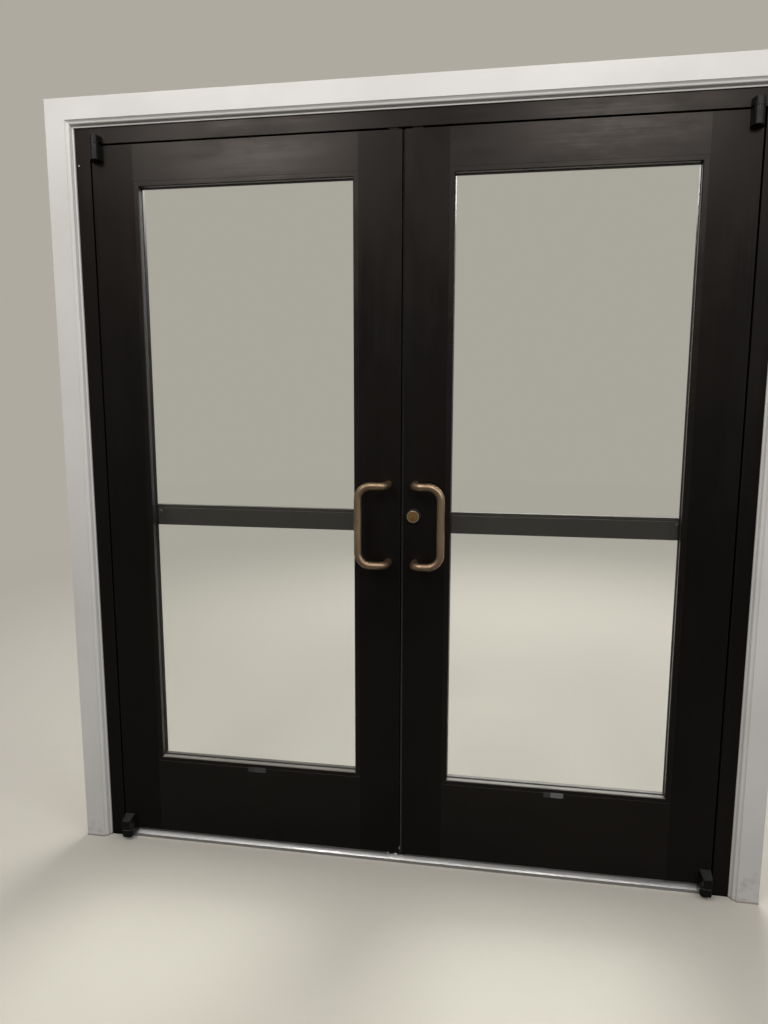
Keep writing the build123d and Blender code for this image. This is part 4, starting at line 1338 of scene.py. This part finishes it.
# Studio
@dataclass(frozen=True)
class Lamp:
    """Rectangular soft lamp of a colour and a power in watts, hung at a place and turned to a target."""

    name: str
    colour: Colour
    power: float
    size: Point
    place: Point
    target: Point

    def hang(self) -> None:
        """Put the lamp in the scene, where it shines but isn't seen, not even through glass."""
        light = bpy.data.lights.new(self.name, "AREA")
        light.shape = "RECTANGLE"
        light.size, light.size_y = self.size
        light.energy = self.power
        light.color = self.colour
        made = added(self.name, light)
        made.location = self.place
        made.rotation_euler = (Vector(self.target) - Vector(self.place)).to_track_quat("-Z", "Y").to_euler()
        made.visible_camera = False
        made.visible_transmission = False


@dataclass
class Studio:
    """Plain pale floor and surroundings, soft lamps, and the camera where the photographer stood."""

    backdrop: Colour = (0.425, 0.402, 0.350)
    ground: Colour = (0.56, 0.535, 0.475)
    mirrored: Colour = (0.19, 0.182, 0.170)
    ambient: Colour = (1.0, 0.985, 0.965)
    ambient_level: float = 0.36
    floor_radius: float = 11.0
    floor_level: float = -0.2 * MM
    floor_corners: int = 96
    fade_start: float = 2.4
    fade_end: float = 6.0
    bounce: float = 0.12
    glint: float = 0.3
    key_colour: Colour = (1.0, 0.985, 0.96)
    fill_colour: Colour = (0.95, 0.975, 1.0)
    wash_colour: Colour = (1.0, 0.965, 0.93)
    ceiling_colour: Colour = (1.0, 0.97, 0.93)
    back_colour: Colour = (1.0, 0.985, 0.965)
    camera_place: Point = (0.31127, -2.21034, 1.42947)
    camera_turn: Point = (81.406, -0.107, 9.592)
    lens: float = 26.793
    sensor: float = 36.0

    def world(self) -> None:
        """Soft light from everywhere, a dimmer tone for reflections, and the backdrop's own colour for what
        looks at it directly or through the glass."""
        world = bpy.data.worlds.new("studio_air")
        bpy.context.scene.world = world
        g = Graph(world, "ShaderNodeOutputWorld")
        rays = g.node("ShaderNodeLightPath").outputs
        light = {"Color": self.ambient, "Strength": self.ambient_level}
        shown = g.node("ShaderNodeBackground", light).outputs[0]
        for kind, tone in (("Is Glossy Ray", self.mirrored), ("Is Transmission Ray", self.backdrop),
                           ("Is Camera Ray", self.backdrop)):
            shown = g.either(rays[kind], shown, g.node("ShaderNodeBackground", {"Color": tone}).outputs[0])

    def floor_material(self) -> Material:
        """Pale floor that takes shadows near the object and fades into the backdrop far from it.

        Returns:
            The floor's material.
        """
        g = Graph(bpy.data.materials.new("studio_floor"))
        rays = g.node("ShaderNodeLightPath").outputs
        direct = g.math("MAXIMUM", rays["Is Camera Ray"], rays["Is Transmission Ray"])
        bounced, glinting = scaled(self.ground, self.bounce), scaled(self.ground, self.glint)
        lit = g.blend(rays["Is Glossy Ray"], bounced, glinting)
        near = g.surface(Base_Color=g.blend(direct, lit, self.ground), Roughness=0.75, Specular_IOR_Level=0.2,
                         Normal=g.bump(g.noise(g.place, scale=240.0), depth=0.1 * MM, strength=0.3))
        far = g.node("ShaderNodeEmission", {"Color": self.backdrop}).outputs[0]
        g.either(g.times(g.spread(g.length(g.place), self.fade_start, self.fade_end), direct), near, far)
        return g.owner

    def floor(self) -> None:
        """Round floor, a hair below the object so that the two faces don't meet."""
        rim = ring_grid(self.floor_radius, self.floor_level, circle(self.floor_corners))
        mesh = bpy.data.meshes.new("floor")
        mesh.from_pydata(rim.tolist(), [], [list(range(len(rim)))])
        mesh.materials.append(self.floor_material())
        made = added("floor", mesh)
        made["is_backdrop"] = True

    def lamps(self) -> None:
        """A key from the front left above, a fill of about its strength from the right, two lamps high in
        front that the head and the top rails mirror, two small ones overhead that graze the casing, and one
        behind."""
        Lamp("key", self.key_colour, power=52.0, size=(2.6, 2.6),
             place=(-2.2, -3.7, 5.0), target=(0.0, 0.0, 1.1)).hang()
        Lamp("fill", self.fill_colour, power=58.0, size=(2.4, 2.4),
             place=(3.9, -3.2, 3.3), target=(0.2, 0.0, 1.0)).hang()
        for side, x, over in (("left", -1.65, -0.87), ("right", 1.0, 0.58)):
            Lamp(f"{side}_wash", self.wash_colour, power=33.0, size=(0.95, 0.85),
                 place=(x, -3.5, 3.5), target=(x, 0.0, 3.5)).hang()
            Lamp(f"{side}_ceiling", self.ceiling_colour, power=4.2, size=(0.2, 0.2),
                 place=(over, -0.78, 3.0), target=(over, -0.78, 0.0)).hang()
        Lamp("back", self.back_colour, power=240.0, size=(3.2, 2.6),
             place=(0.9, 4.6, 4.2), target=(0.0, 0.0, 0.9)).hang()

    def camera(self) -> None:
        """Camera with the place, turn and lens of the photograph."""
        data = bpy.data.cameras.new("camera")
        data.lens = self.lens
        data.sensor_width = self.sensor
        made = added("camera", data)
        made.location = self.camera_place
        made.rotation_euler = [math.radians(angle) for angle in self.camera_turn]
        bpy.context.scene.camera = made

    def build(self) -> None:
        """Set up the surroundings, the lamps and the camera."""
        bpy.context.scene.view_settings.view_transform = "Standard"
        self.world()
        self.floor()
        self.lamps()
        self.camera()


def corners() -> list[list[float]]:
    """Box of everything that belongs to the object, as two plain lists."""
    return [[float(part) for part in corner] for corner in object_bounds()]


def main() -> None:
    """Build the sub-assemblies in order."""
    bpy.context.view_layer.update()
    Studio().build()
    leaves = (LeafDressing(Side.LEFT, plate_tone=0.36), LeafDressing(Side.RIGHT))
    for part in (FrameDressing(), *leaves, LockDressing()):
        part.build()
        log.info("%s done", type(part).__name__)


if __name__ == "__main__":
    logging.basicConfig(level=logging.INFO, format="%(message)s")
    main()
